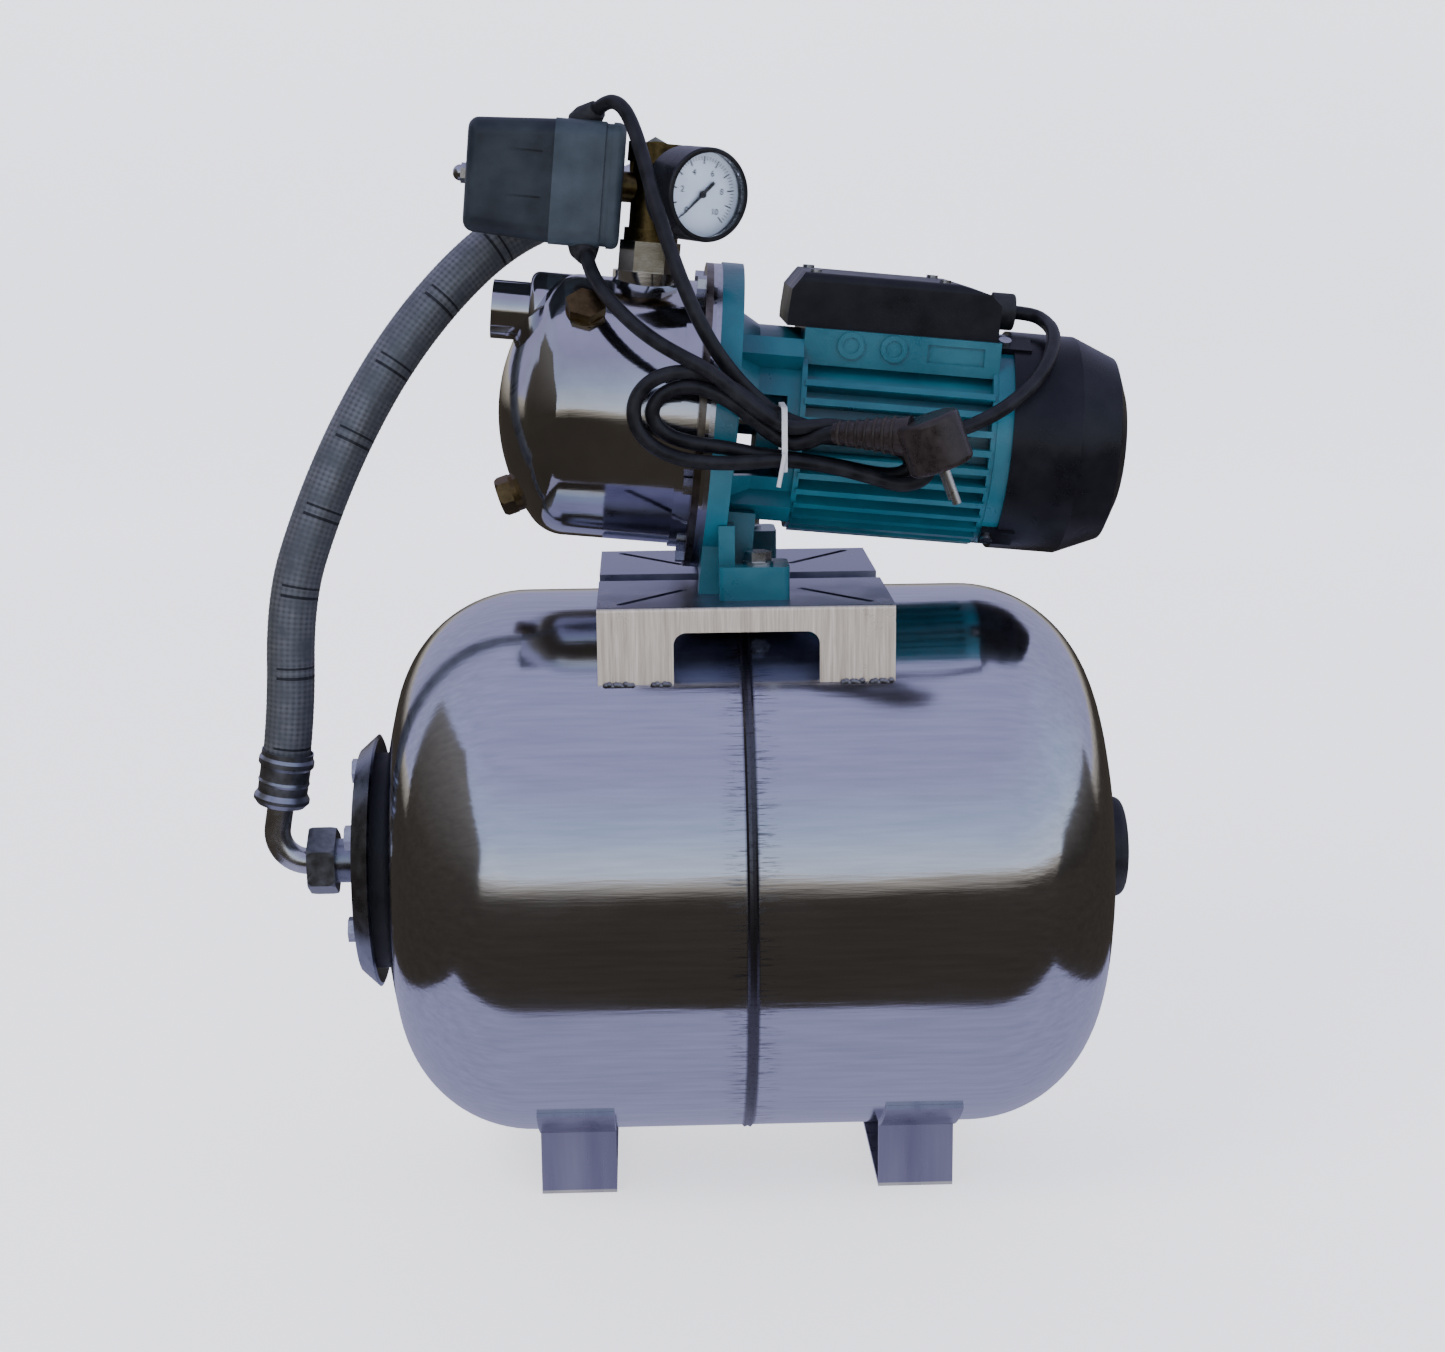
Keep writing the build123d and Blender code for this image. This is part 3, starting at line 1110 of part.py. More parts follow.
def make_plug():
    pins, lead = plug_frame()
    start = along(PLUG_AT, pins, -PLUG_H / 2)
    body = rod(start, pins, PLUG_R, PLUG_H)
    ends = body.edges().filter_by(GeomType.CIRCLE)
    body = fillet(ends, 3.0)
    neck_start = along(PLUG_AT, pins, -3)
    neck = Plane(origin=along(neck_start, lead, PLUG_R - 6), z_dir=lead) * revolve(
        Plane.XZ * make_face(Polyline((0, 0), (11, 0), (5.6, 42), (0, 42), close=True)), Axis.Z
    )
    body += neck
    body -= rod(along(neck_start, lead, PLUG_R + 6), lead, LEAD_D / 2, 40)
    prongs = []
    for way in (-1, 1):
        foot = along(PLUG_AT, pins, PLUG_H / 2 - 3)
        prong = rod((foot[0], foot[1] + way * 9.5, foot[2]), pins, 2.4, 22)
        prongs.append(prong)
        body -= prong
    save("mains_plug", Compound(children=[body] + prongs))


def make_leads(switch_ends, box_exit):
    (low_at, low_way), (top_at, top_way) = switch_ends
    mains = [
        low_at,
        along(low_at, low_way, 11),
        (-78.0, -50.0, 527.0),
        (-70.5, -65.0, 518.0),
        (-60.0, -79.0, 508.0),
        (-47.0, -90.0, 498.5),
        (-33.0, -97.0, 490.5),
        (-19.5, -100.0, 483.5),
    ]
    cord_tube("mains_lead", mains, LEAD_D)

    box_at, box_way = box_exit
    motor = [
        top_at,
        along(top_at, top_way, 9),
        (-63.0, -30.0, 623.0),
        (-57.0, -40.0, 611.0),
        (-52.0, -52.0, 594.0),
        (-47.0, -65.0, 574.0),
        (-40.5, -77.0, 552.0),
        (-32.5, -86.0, 529.0),
        (-23.0, -90.0, 507.0),
        (-12.0, -91.0, 488.5),
        (2.5, -86.5, 471.0),
        (22.0, -84.0, 455.0),
        (46.0, -84.5, 448.5),
        (72.0, -86.0, 446.0),
        (98.0, -87.5, 445.5),
        (119.0, -88.0, 449.5),
        (137.5, -82.0, 457.0),
        (152.0, -73.5, 465.5),
        (163.0, -62.5, 474.0),
        (170.5, -51.0, 482.5),
        (175.5, -38.5, 490.5),
        (177.5, -25.0, 497.0),
        (176.0, -11.0, 501.0),
        along(box_at, box_way, 11.5),
        box_at,
    ]
    cord_tube("motor_lead", motor, LEAD_D)


def make_tie():
    """Twist tie round the hank and the motor lead."""
    plane = Plane(origin=(19, 0, 0), x_dir=(0, 1, 0), z_dir=(1, 0, 0))
    depth = TIE_Y[1] - TIE_Y[0]
    height = TIE_Z[1] - TIE_Z[0]
    centre = ((TIE_Y[0] + TIE_Y[1]) / 2, (TIE_Z[0] + TIE_Z[1]) / 2)
    outer = RectangleRounded(depth + 2 * TIE_T, height + 2 * TIE_T, 3)
    ring = Pos(*centre) * (outer - RectangleRounded(depth, height, 3 - TIE_T))
    knot = (20.5, TIE_Y[0] - 1.5, TIE_Z[0] + 9)
    save("cable_tie", extrude(plane * ring, 3.0) + rod(knot, (-0.2, -0.1, -1), 1.2, 18))


def main():
    os.makedirs("parts", exist_ok=True)
    flat_x = make_tank()
    make_tank_right_end()
    make_hose_ends(flat_x)
    make_feet()
    make_plates()
    seal_x = make_casing()
    make_plugs_and_nipple()
    make_hydraulics(seal_x)
    make_bracket()
    make_motor()
    cover_screws = make_fan_cover()
    make_fan()
    box_gland, box_at, box_way = make_terminal_box(cover_screws)
    way = make_fitting()
    make_gauge(way)
    switch_ends = make_switch(box_gland)
    make_hank()
    make_plug()
    make_leads(switch_ends, (box_at, box_way))
    make_tie()


main()
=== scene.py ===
"""The booster set: a jet pump on a horizontal pressure tank, finished and lit."""
import json
import math

import bmesh
import bpy
from mathutils import Matrix, Vector


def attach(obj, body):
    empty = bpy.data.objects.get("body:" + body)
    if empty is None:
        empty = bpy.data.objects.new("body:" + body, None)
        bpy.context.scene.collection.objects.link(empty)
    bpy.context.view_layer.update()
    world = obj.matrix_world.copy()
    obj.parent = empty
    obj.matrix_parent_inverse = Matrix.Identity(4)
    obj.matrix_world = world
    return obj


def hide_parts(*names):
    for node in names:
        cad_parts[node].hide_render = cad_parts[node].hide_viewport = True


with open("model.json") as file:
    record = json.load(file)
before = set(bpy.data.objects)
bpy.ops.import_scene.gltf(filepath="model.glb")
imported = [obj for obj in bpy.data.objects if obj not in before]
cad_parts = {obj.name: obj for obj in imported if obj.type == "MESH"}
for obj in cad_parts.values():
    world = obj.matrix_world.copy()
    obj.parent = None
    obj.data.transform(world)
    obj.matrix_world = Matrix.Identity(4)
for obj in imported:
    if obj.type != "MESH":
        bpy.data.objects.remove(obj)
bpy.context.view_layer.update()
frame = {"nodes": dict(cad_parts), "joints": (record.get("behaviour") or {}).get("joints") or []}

parts = frame["nodes"]

# ---- camera --------------------------------------------------------------------------
# Level with the gauge, looking slightly down and to the right at the whole set.
# The lens is a short tele, so the two ends of the tank stay the same size.
def axes_matrix(across, up, out, spot):
    """A placing whose own x, y and z run along three given directions."""
    return Matrix(
        (
            (across.x, up.x, out.x, spot.x),
            (across.y, up.y, out.y, spot.y),
            (across.z, up.z, out.z, spot.z),
            (0, 0, 0, 1),
        )
    )


eye = Vector((-0.055, -1.359, 0.592))
turn, dip, roll = 0.033, 0.2145, -0.0092
ahead = Vector(
    (math.sin(turn) * math.cos(dip), math.cos(turn) * math.cos(dip), -math.sin(dip))
)
level = Vector((math.cos(turn), -math.sin(turn), 0))
upright = level.cross(ahead)
right = math.cos(roll) * level + math.sin(roll) * upright
above = -math.sin(roll) * level + math.cos(roll) * upright
camera_data = bpy.data.cameras.new("camera")
camera_data.sensor_width = 36.0
camera_data.lens = 58.77
camera_data.clip_start = 0.05
camera_data.clip_end = 60.0
camera = bpy.data.objects.new("camera", camera_data)
camera.matrix_world = axes_matrix(right, above, -ahead, eye)
bpy.context.scene.collection.objects.link(camera)
bpy.context.scene.camera = camera

# ---- mains lead ----------------------------------------------------------------------
# A round black lead of PVC from the lower gland of the pressure switch, wound in
# two flat turns, tied, and ended in the moulded plug.  One spline runs all of it.
LEAD_DIAMETER = 0.0080


def lead_curve(name, points, diameter):
    """A soft lead: one smooth spline with the route's points as its control points."""
    curve = bpy.data.curves.new(name, "CURVE")
    curve.dimensions = "3D"
    curve.bevel_depth = diameter / 2
    curve.bevel_resolution = 6
    curve.resolution_u = 10
    curve.use_fill_caps = True
    spline = curve.splines.new("NURBS")
    spline.points.add(len(points) - 1)
    for place, point in zip(spline.points, points):
        place.co = (point[0] / 1000, point[1] / 1000, point[2] / 1000, 1.0)
    spline.order_u = 3
    spline.use_endpoint_u = True
    lead = bpy.data.objects.new(name, curve)
    bpy.context.scene.collection.objects.link(lead)
    return lead


def lead_line(lead):
    """Points along the lead's own centreline, read back from its spline."""
    bare = lead.data.copy()
    bare.bevel_depth = 0.0
    spare = bpy.data.objects.new("spare_line", bare)
    bpy.context.scene.collection.objects.link(spare)
    bpy.context.view_layer.update()
    graph = bpy.context.evaluated_depsgraph_get()
    mesh = bpy.data.meshes.new_from_object(spare.evaluated_get(graph))
    line = [v.co.copy() for v in mesh.vertices]
    bpy.data.objects.remove(spare)
    bpy.data.meshes.remove(mesh)
    return line


def line_length(line):
    """Length along a line of points, in metres."""
    return sum((b - a).length for a, b in zip(line, line[1:]))


def raw_finish(name):
    """An empty node material: the material, its node tree and its shader."""
    stuff = bpy.data.materials.new(name)
    stuff.use_nodes = True
    tree = stuff.node_tree
    shader = tree.nodes["Principled BSDF"]
    return stuff, tree, shader


def grain(tree, size, stretch=(1, 1, 1), detail=4.0, rough=0.55):
    """Noise in metres on the piece itself; size is the grain's own size."""
    place = tree.nodes.new("ShaderNodeTexCoord")
    scale = tree.nodes.new("ShaderNodeMapping")
    scale.inputs["Scale"].default_value = stretch
    noise = tree.nodes.new("ShaderNodeTexNoise")
    noise.inputs["Scale"].default_value = 1.0 / size
    noise.inputs["Detail"].default_value = detail
    noise.inputs["Roughness"].default_value = rough
    tree.links.new(place.outputs["Object"], scale.inputs["Vector"])
    tree.links.new(scale.outputs["Vector"], noise.inputs["Vector"])
    return noise.outputs["Fac"]


def ramp(tree, fac, stops):
    """Turns a value into a colour through (position, colour) stops."""
    node = tree.nodes.new("ShaderNodeValToRGB")
    band = node.color_ramp
    while len(band.elements) < len(stops):
        band.elements.new(0.5)
    for element, (at, colour) in zip(band.elements, stops):
        element.position = at
        element.color = (colour[0], colour[1], colour[2], 1.0)
    tree.links.new(fac, node.inputs["Fac"])
    return node.outputs["Color"]


def spread(tree, fac, low, high, start=0.3, end=0.7):
    """Maps a value onto a range, for roughness and masks."""
    node = tree.nodes.new("ShaderNodeMapRange")
    node.inputs["From Min"].default_value = start
    node.inputs["From Max"].default_value = end
    node.inputs["To Min"].default_value = low
    node.inputs["To Max"].default_value = high
    tree.links.new(fac, node.inputs["Value"])
    return node.outputs["Result"]


def relief(tree, shader, height, depth, under=None):
    """Adds surface relief of a depth in metres under the shader's normal."""
    node = tree.nodes.new("ShaderNodeBump")
    node.inputs["Strength"].default_value = 1.0
    node.inputs["Distance"].default_value = depth
    tree.links.new(height, node.inputs["Height"])
    if under is not None:
        tree.links.new(under, node.inputs["Normal"])
    tree.links.new(node.outputs["Normal"], shader.inputs["Normal"])
    return node.outputs["Normal"]


def lead_sheath(name, dark, pale):
    """Black cable PVC: fine pimples, a few dusty scuffs, a soft broad sheen."""
    stuff, tree, shader = raw_finish(name)
    scuff = grain(tree, 0.011, detail=6.0)
    skin = ramp(tree, scuff, [(0.35, dark), (0.72, pale)])
    tree.links.new(skin, shader.inputs["Base Color"])
    tree.links.new(spread(tree, scuff, 0.30, 0.48), shader.inputs["Roughness"])
    first = relief(tree, shader, grain(tree, 0.0009), 0.00005)
    relief(tree, shader, scuff, 0.00012, first)
    shader.inputs["Specular IOR Level"].default_value = 0.36
    return stuff


lead_black = lead_sheath("lead_black", (0.004, 0.004, 0.005), (0.015, 0.015, 0.019))

mains_route = [
    (-84.5, -26.5, 541.5), (-82.8, -35.9, 535.9),
    (-78.0, -50.0, 527.0), (-70.5, -65.0, 518.0), (-60.0, -79.0, 508.0), (-47.0, -90.0, 498.5),
    (-33.0, -99.0, 491.0), (-19.5, -105.0, 484.5), (-6.0, -106.0, 473.5), (8.0, -105.0, 461.5),
    (22.0, -104.0, 452.8), (34.0, -102.0, 453.5), (47.0, -100.5, 454.0), (60.0, -101.5, 451.5),
    (74.0, -103.5, 446.0), (87.0, -104.0, 442.0), (96.5, -104.0, 437.0), (99.0, -104.0, 431.0),
    (96.0, -103.5, 425.0), (88.0, -103.5, 421.8), (80.0, -103.5, 422.0), (65.0, -104.0, 427.0),
    (45.0, -104.0, 432.5), (22.0, -104.0, 436.3),
    (5.0, -103.5, 435.0), (-14.0, -103.0, 434.5), (-34.0, -103.0, 436.5), (-50.0, -102.5, 443.5),
    (-59.5, -102.0, 455.0), (-59.5, -101.0, 469.5), (-49.0, -100.5, 480.5), (-33.0, -99.5, 484.0),
    (-18.0, -97.0, 480.0), (-2.0, -96.0, 471.5), (10.0, -96.0, 461.0), (22.0, -96.0, 452.5),
    (36.0, -95.6, 447.6), (50.0, -95.5, 446.2), (64.0, -95.6, 444.5), (76.0, -95.6, 442.3),
    (84.5, -95.5, 439.5), (89.5, -95.5, 434.5), (88.5, -95.5, 429.0), (82.0, -95.6, 426.0),
    (69.0, -96.0, 427.0), (46.0, -96.0, 432.5),
    (22.0, -96.0, 436.3), (6.0, -96.0, 438.5), (-12.0, -96.5, 442.5), (-30.0, -97.0, 445.0),
    (-43.5, -97.5, 450.0), (-50.5, -98.0, 459.0), (-48.0, -98.5, 468.5), (-38.0, -99.0, 475.0),
    (-25.0, -99.5, 475.5), (-11.0, -100.5, 469.5), (1.0, -100.5, 460.5), (11.0, -100.0, 451.8),
    (22.0, -100.0, 444.3), (33.0, -103.4, 444.8), (40.5, -106.4, 449.2), (47.0, -108.9, 450.9),
    (57.0, -112.5, 450.7),
]
mains_lead = lead_curve("mains_lead_wound", mains_route, LEAD_DIAMETER)
mains_lead.data.materials.append(lead_black)
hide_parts("mains_lead", "mains_hank")
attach(mains_lead, "set")
print("mains lead metres", round(line_length(lead_line(mains_lead)), 4))

# ---- motor lead ----------------------------------------------------------------------
# The same black lead from the switch's upper gland.  It arches over, drops past the
# gauge, runs behind the wound lead, and turns back into the gland of the motor's box.
motor_route = [
    (-77.0, -17.0, 621.1), (-71.2, -21.5, 626.1), (-63.0, -30.0, 623.0), (-57.0, -40.0, 611.0),
    (-52.0, -52.0, 594.0), (-47.0, -65.0, 574.0), (-40.5, -77.0, 552.0), (-32.5, -86.0, 529.0),
    (-23.0, -90.0, 507.0), (-12.0, -91.0, 488.5), (2.5, -86.5, 471.0), (22.0, -84.0, 455.0),
    (46.0, -84.5, 448.5), (72.0, -86.0, 446.0), (98.0, -87.5, 445.5), (119.0, -88.0, 449.5),
    (137.5, -82.0, 457.0), (152.0, -73.5, 465.5), (163.0, -62.5, 474.0), (170.5, -51.0, 482.5),
    (175.5, -38.5, 490.5), (177.5, -25.0, 497.0), (176.0, -11.0, 501.0), (170.2, 0.0, 505.2),
    (158.8, 0.0, 506.3),
]
motor_lead = lead_curve("motor_lead_run", motor_route, LEAD_DIAMETER)
motor_lead.data.materials.append(lead_black)
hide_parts("motor_lead")
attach(motor_lead, "set")
print("motor lead metres", round(line_length(lead_line(motor_lead)), 4))

# ---- braided hose --------------------------------------------------------------------
# Rubber hose in a woven jacket of dull wire, from the tank's elbow up to the brass
# fitting.  The weave is modelled: bundles cross over and under, about 50 degrees off
# the hose's own line.
HOSE_DIAMETER = 0.0280
BUNDLES = 24
WEAVE_PITCH = 0.0062
WEAVE_RISE = 0.00036
RINGS_PER_PITCH = 8
SIDES = 96
WEAVE_PER_METRE = 10
MARKERS_PER_STEP = 2.1
WIRES_PER_BUNDLE = 7

hose_route = [
    (-271.5, 0.0, 229.3), (-264.2, 0.0, 270.7), (-262.0, 3.0, 345.0), (-246.0, 10.0, 393.0),
    (-225.0, 20.0, 440.0), (-199.0, 31.0, 484.0), (-169.0, 43.0, 521.0), (-138.0, 55.0, 549.0),
    (-105.2, 60.0, 564.9), (-79.2, 60.0, 575.4),
]


def resample(line, step):
    """Even steps along a line of points."""
    out = [line[0].copy()]
    left = step
    for a, b in zip(line, line[1:]):
        run = (b - a).length
        at = 0.0
        while run - at > left:
            at += left
            out.append(a.lerp(b, at / run))
            left = step
        left -= run - at
    out.append(line[-1].copy())
    return out


def mesh_piece(name, mesh):
    """Turns finished mesh work into a piece in the scene."""
    data = bpy.data.meshes.new(name)
    mesh.to_mesh(data)
    mesh.free()
    piece = bpy.data.objects.new(name, data)
    bpy.context.scene.collection.objects.link(piece)
    return piece


def wire_jacket(name, line, radius):
    """A tube of wire bundles that pass over and under each other."""
    step = WEAVE_PITCH / RINGS_PER_PITCH
    steps = resample(line, step)
    mesh = bmesh.new()
    layer = mesh.loops.layers.uv.new("weave")
    side = Vector((0, 1, 0))
    rings = []
    for index, point in enumerate(steps):
        before = steps[max(index - 1, 0)]
        after = steps[min(index + 1, len(steps) - 1)]
        way = (after - before).normalized()
        side = (side - way * side.dot(way)).normalized()
        up = way.cross(side)
        ring = []
        for k in range(SIDES):
            turn = k / SIDES
            lift = math.sin(2 * math.pi * (BUNDLES / 2 * turn + index / RINGS_PER_PITCH))
            lift *= math.sin(2 * math.pi * (BUNDLES / 2 * turn - index / RINGS_PER_PITCH))
            out = radius - WEAVE_RISE + WEAVE_RISE * (0.5 + 0.5 * lift)
            angle = 2 * math.pi * turn
            spot = point + out * (math.cos(angle) * side + math.sin(angle) * up)
            ring.append(mesh.verts.new(spot))
        rings.append(ring)
    for index, (low, high) in enumerate(zip(rings, rings[1:])):
        for k in range(SIDES):
            beyond = (k + 1) % SIDES
            face = mesh.faces.new((low[k], low[beyond], high[beyond], high[k]))
            face.smooth = True
            spots = ((index, k), (index, k + 1), (index + 1, k + 1), (index + 1, k))
            for loop, (ring_at, side_at) in zip(face.loops, spots):
                loop[layer].uv = (ring_at * step * WEAVE_PER_METRE, side_at / SIDES)
    mesh.faces.new(reversed(rings[0]))
    mesh.faces.new(rings[-1])
    return mesh_piece(name, mesh)


def maths(tree, kind, first, second=None):
    """One step of arithmetic on a value."""
    node = tree.nodes.new("ShaderNodeMath")
    node.operation = kind
    for socket, value in zip(node.inputs, (first, second)):
        if value is None:
            continue
        if isinstance(value, (int, float)):
            socket.default_value = value
        else:
            tree.links.new(value, socket)
    return node.outputs["Value"]


def close_to(tree, value, middle, reach):
    """One where a value lies within reach of a middle, and nought elsewhere."""
    off = maths(tree, "ABSOLUTE", maths(tree, "SUBTRACT", value, middle))
    return maths(tree, "LESS_THAN", off, reach)


def blend_colour(tree, mask, first, second):
    """Mixes two colours, or colour outputs, by a mask."""
    node = tree.nodes.new("ShaderNodeMix")
    node.data_type = "RGBA"
    tree.links.new(mask, node.inputs["Factor"])
    for socket, value in ((node.inputs[6], first), (node.inputs[7], second)):
        if isinstance(value, tuple):
            socket.default_value = (value[0], value[1], value[2], 1.0)
        else:
            tree.links.new(value, socket)
    return node.outputs[2]


def braided_wire():
    """Dull bright wire, with painted shade darkening the gaps of the weave and dark marker threads
    now and then.
    """
    stuff, tree, shader = raw_finish("braided_wire")
    place = tree.nodes.new("ShaderNodeUVMap")
    place.uv_map = "weave"
    split = tree.nodes.new("ShaderNodeSeparateXYZ")
    tree.links.new(place.outputs["UV"], split.inputs["Vector"])
    length = split.outputs["X"]
    turn = split.outputs["Y"]
    around = maths(tree, "MULTIPLY", turn, BUNDLES * math.pi)
    step = maths(tree, "MULTIPLY", length, 2 * math.pi / (WEAVE_PITCH * WEAVE_PER_METRE))
    over = maths(tree, "SINE", maths(tree, "ADD", around, step))
    under = maths(tree, "SINE", maths(tree, "SUBTRACT", around, step))
    weave = maths(tree, "MULTIPLY", over, under)
    dirt = grain(tree, 0.012, detail=6.0)
    # Painted shade: the wire is coloured darker where the weave sinks into gaps and lighter on the
    # crossing bundles.
    wire = ramp(
        tree, spread(tree, weave, 0, 1, -1, 0.5),
        [(0.0, (0.15, 0.155, 0.165)), (1.0, (0.29, 0.30, 0.32))],
    )
    # Real dirt patches are mixed over the painted gap shade.
    worn_and_gap_shaded = blend_colour(tree, spread(tree, dirt, 0, 1, 0.35, 0.7), wire, (0.17, 0.185, 0.20))
    repeat = maths(tree, "FRACT", maths(tree, "MULTIPLY", length, MARKERS_PER_STEP))
    both = maths(
        tree, "MAXIMUM",
        close_to(tree, repeat, 0.5, 0.018), close_to(tree, repeat, 0.62, 0.014),
    )
    marks = maths(tree, "MULTIPLY", both, close_to(tree, turn, 0.62, 0.2))
    marks = maths(tree, "MULTIPLY", marks, 0.8)
    jacket = blend_colour(tree, marks, worn_and_gap_shaded, (0.015, 0.016, 0.02))
    tree.links.new(jacket, shader.inputs["Base Color"])
    tree.links.new(spread(tree, dirt, 0.36, 0.55), shader.inputs["Roughness"])
    strands = (maths(tree, "MULTIPLY", way, WIRES_PER_BUNDLE) for way in (around, step))
    fine = maths(tree, "SINE", maths(tree, "ADD", *strands))
    relief(tree, shader, fine, 0.00005)
    shader.inputs["Metallic"].default_value = 0.85
    return stuff


hose_guide = lead_curve("hose_guide", hose_route, HOSE_DIAMETER)
hose_line = lead_line(hose_guide)
bpy.data.objects.remove(hose_guide)
hose = wire_jacket("hose_jacket", hose_line, HOSE_DIAMETER / 2)
hose.data.materials.append(braided_wire())
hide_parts("braided_hose")
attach(hose, "set")
print("hose metres", round(line_length(hose_line), 4))


# ---- pressure tank -------------------------------------------------------------------
# Two deep-drawn shells of thin polished stainless sheet, butted and welded round the
# middle.  The weld has left a dark line, and heat marks like comb teeth beside it.
def finish_nodes(stuff, *nodes):
    """Gives CAD pieces their finish."""
    for node in nodes:
        for place in parts[node].material_slots:
            place.material = stuff


def piece_point(tree):
    """The place on the piece, in metres, as outputs named X, Y and Z."""
    place = tree.nodes.new("ShaderNodeTexCoord")
    split = tree.nodes.new("ShaderNodeSeparateXYZ")
    tree.links.new(place.outputs["Object"], split.inputs["Vector"])
    return split.outputs


def polished_tank():
    """Drawn and polished sheet, with the seam and its heat marks at x = 0."""
    stuff, tree, shader = raw_finish("polished_tank")
    away = maths(tree, "ABSOLUTE", piece_point(tree)["X"])
    drawn = grain(tree, 0.05, (1, 14, 14), detail=6.0)
    smudge = grain(tree, 0.09, (1, 1, 1.6), detail=3.0)
    sheet = ramp(tree, drawn, [(0.3, (0.60, 0.61, 0.68)), (0.7, (0.72, 0.735, 0.80))])
    comb = grain(tree, 0.02, (1.2, 16, 16), detail=5.0, rough=0.7)
    teeth = spread(tree, comb, 0, 1, 0.52, 0.62)
    near = spread(tree, away, 0.85, 0, 0.004, 0.018)
    heat = maths(tree, "MULTIPLY", teeth, near)
    heated = blend_colour(tree, heat, sheet, (0.11, 0.10, 0.11))
    seam = spread(tree, away, 0.92, 0, 0.0026, 0.0042)
    sheet = blend_colour(tree, seam, heated, (0.09, 0.085, 0.095))
    tree.links.new(sheet, shader.inputs["Base Color"])
    shine = spread(tree, smudge, 0.085, 0.17)
    dull = maths(tree, "ADD", shine, maths(tree, "MULTIPLY", heat, 0.22))
    dull = maths(tree, "ADD", dull, maths(tree, "MULTIPLY", seam, 0.2))
    tree.links.new(dull, shader.inputs["Roughness"])
    first = relief(tree, shader, drawn, 0.00006)
    relief(tree, shader, grain(tree, 0.14, (1, 1.4, 1.4), detail=1.0), 0.0011, first)
    shader.inputs["Metallic"].default_value = 1.0
    return stuff


finish_nodes(polished_tank(), "tank_shell_left", "tank_shell_right")


# ---- tank inside and ends ------------------------------------------------------------
# A rubber membrane hangs inside.  Its lip is clamped on a black collar by a pressed
# steel flange with six zinc-plated screws; the other end has the air valve's cap.
def dull_rubber(name, dark, pale, size=0.004):
    """Matt rubber or thick paint: mottled, a little bloom, fine pits."""
    stuff, tree, shader = raw_finish(name)
    bloom = grain(tree, size, detail=7.0)
    tree.links.new(ramp(tree, bloom, [(0.3, dark), (0.75, pale)]), shader.inputs["Base Color"])
    tree.links.new(spread(tree, bloom, 0.5, 0.72), shader.inputs["Roughness"])
    first = relief(tree, shader, grain(tree, 0.0012), 0.00008)
    relief(tree, shader, bloom, 0.0002, first)
    return stuff


def plated_steel(name, dark, pale, low=0.2, high=0.38, size=0.006, stretch=(1, 1, 1)):
    """Zinc-plated or machined steel: cloudy plating, fine tool marks, dull spots."""
    stuff, tree, shader = raw_finish(name)
    cloud = grain(tree, size, stretch, detail=6.0)
    tree.links.new(ramp(tree, cloud, [(0.28, dark), (0.72, pale)]), shader.inputs["Base Color"])
    tree.links.new(spread(tree, cloud, low, high), shader.inputs["Roughness"])
    first = relief(tree, shader, grain(tree, 0.0008, stretch), 0.00003)
    relief(tree, shader, cloud, 0.00008, first)
    shader.inputs["Metallic"].default_value = 1.0
    return stuff


membrane_rubber = dull_rubber("membrane_rubber", (0.010, 0.010, 0.010), (0.035, 0.034, 0.033))
collar_black = dull_rubber("collar_black", (0.006, 0.006, 0.009), (0.022, 0.022, 0.028), 0.008)
flange_steel = plated_steel(
    "flange_steel", (0.12, 0.13, 0.16), (0.50, 0.52, 0.58), 0.18, 0.42, 0.016
)
bolt_zinc = plated_steel("bolt_zinc", (0.42, 0.43, 0.46), (0.72, 0.73, 0.76), 0.2, 0.34)
finish_nodes(membrane_rubber, "tank_membrane")
finish_nodes(collar_black, "tank_collar", "air_valve_cap")
finish_nodes(flange_steel, "tank_flange")
finish_nodes(bolt_zinc, "tank_flange_bolts")

# ---- elbows, nuts and ferrules -------------------------------------------------------
# Bent steel tube, polished and nickel bright, under a satin union nut, and crimped
# sleeves with rolled collars that hold the hose's jacket.
nickel_tube = plated_steel("nickel_tube", (0.58, 0.58, 0.59), (0.82, 0.82, 0.82), 0.18, 0.3, 0.01)
union_satin = plated_steel("union_satin", (0.24, 0.25, 0.25), (0.42, 0.43, 0.44), 0.3, 0.45, 0.004)
sleeve_satin = plated_steel(
    "sleeve_satin", (0.34, 0.36, 0.40), (0.56, 0.58, 0.64), 0.26, 0.42, 0.007
)
finish_nodes(nickel_tube, "hose_elbows")
finish_nodes(union_satin, "hose_union_nuts")
finish_nodes(sleeve_satin, "hose_ferrules")


# ---- feet and pump plates ------------------------------------------------------------
# Bent stainless sheet, brushed up and down on the skirts and plain on top, with a warm
# painted reflection on the skirts and a cooler painted reflection on top; the skirts
# are tacked to the shell with short welds.
SKIRT_INSIDE_Y, SKIRT_FACE_Y = 0.0968, 0.0984
TACK_EDGE_Y, TACK_EDGE_Z, TACK_RADIUS = 0.0992, 0.3125, 0.0021
TACK_SPANS = ((-0.078, -0.062), (-0.052, -0.042), (0.052, 0.064), (0.068, 0.080))
TACK_WAVER = 0.0006


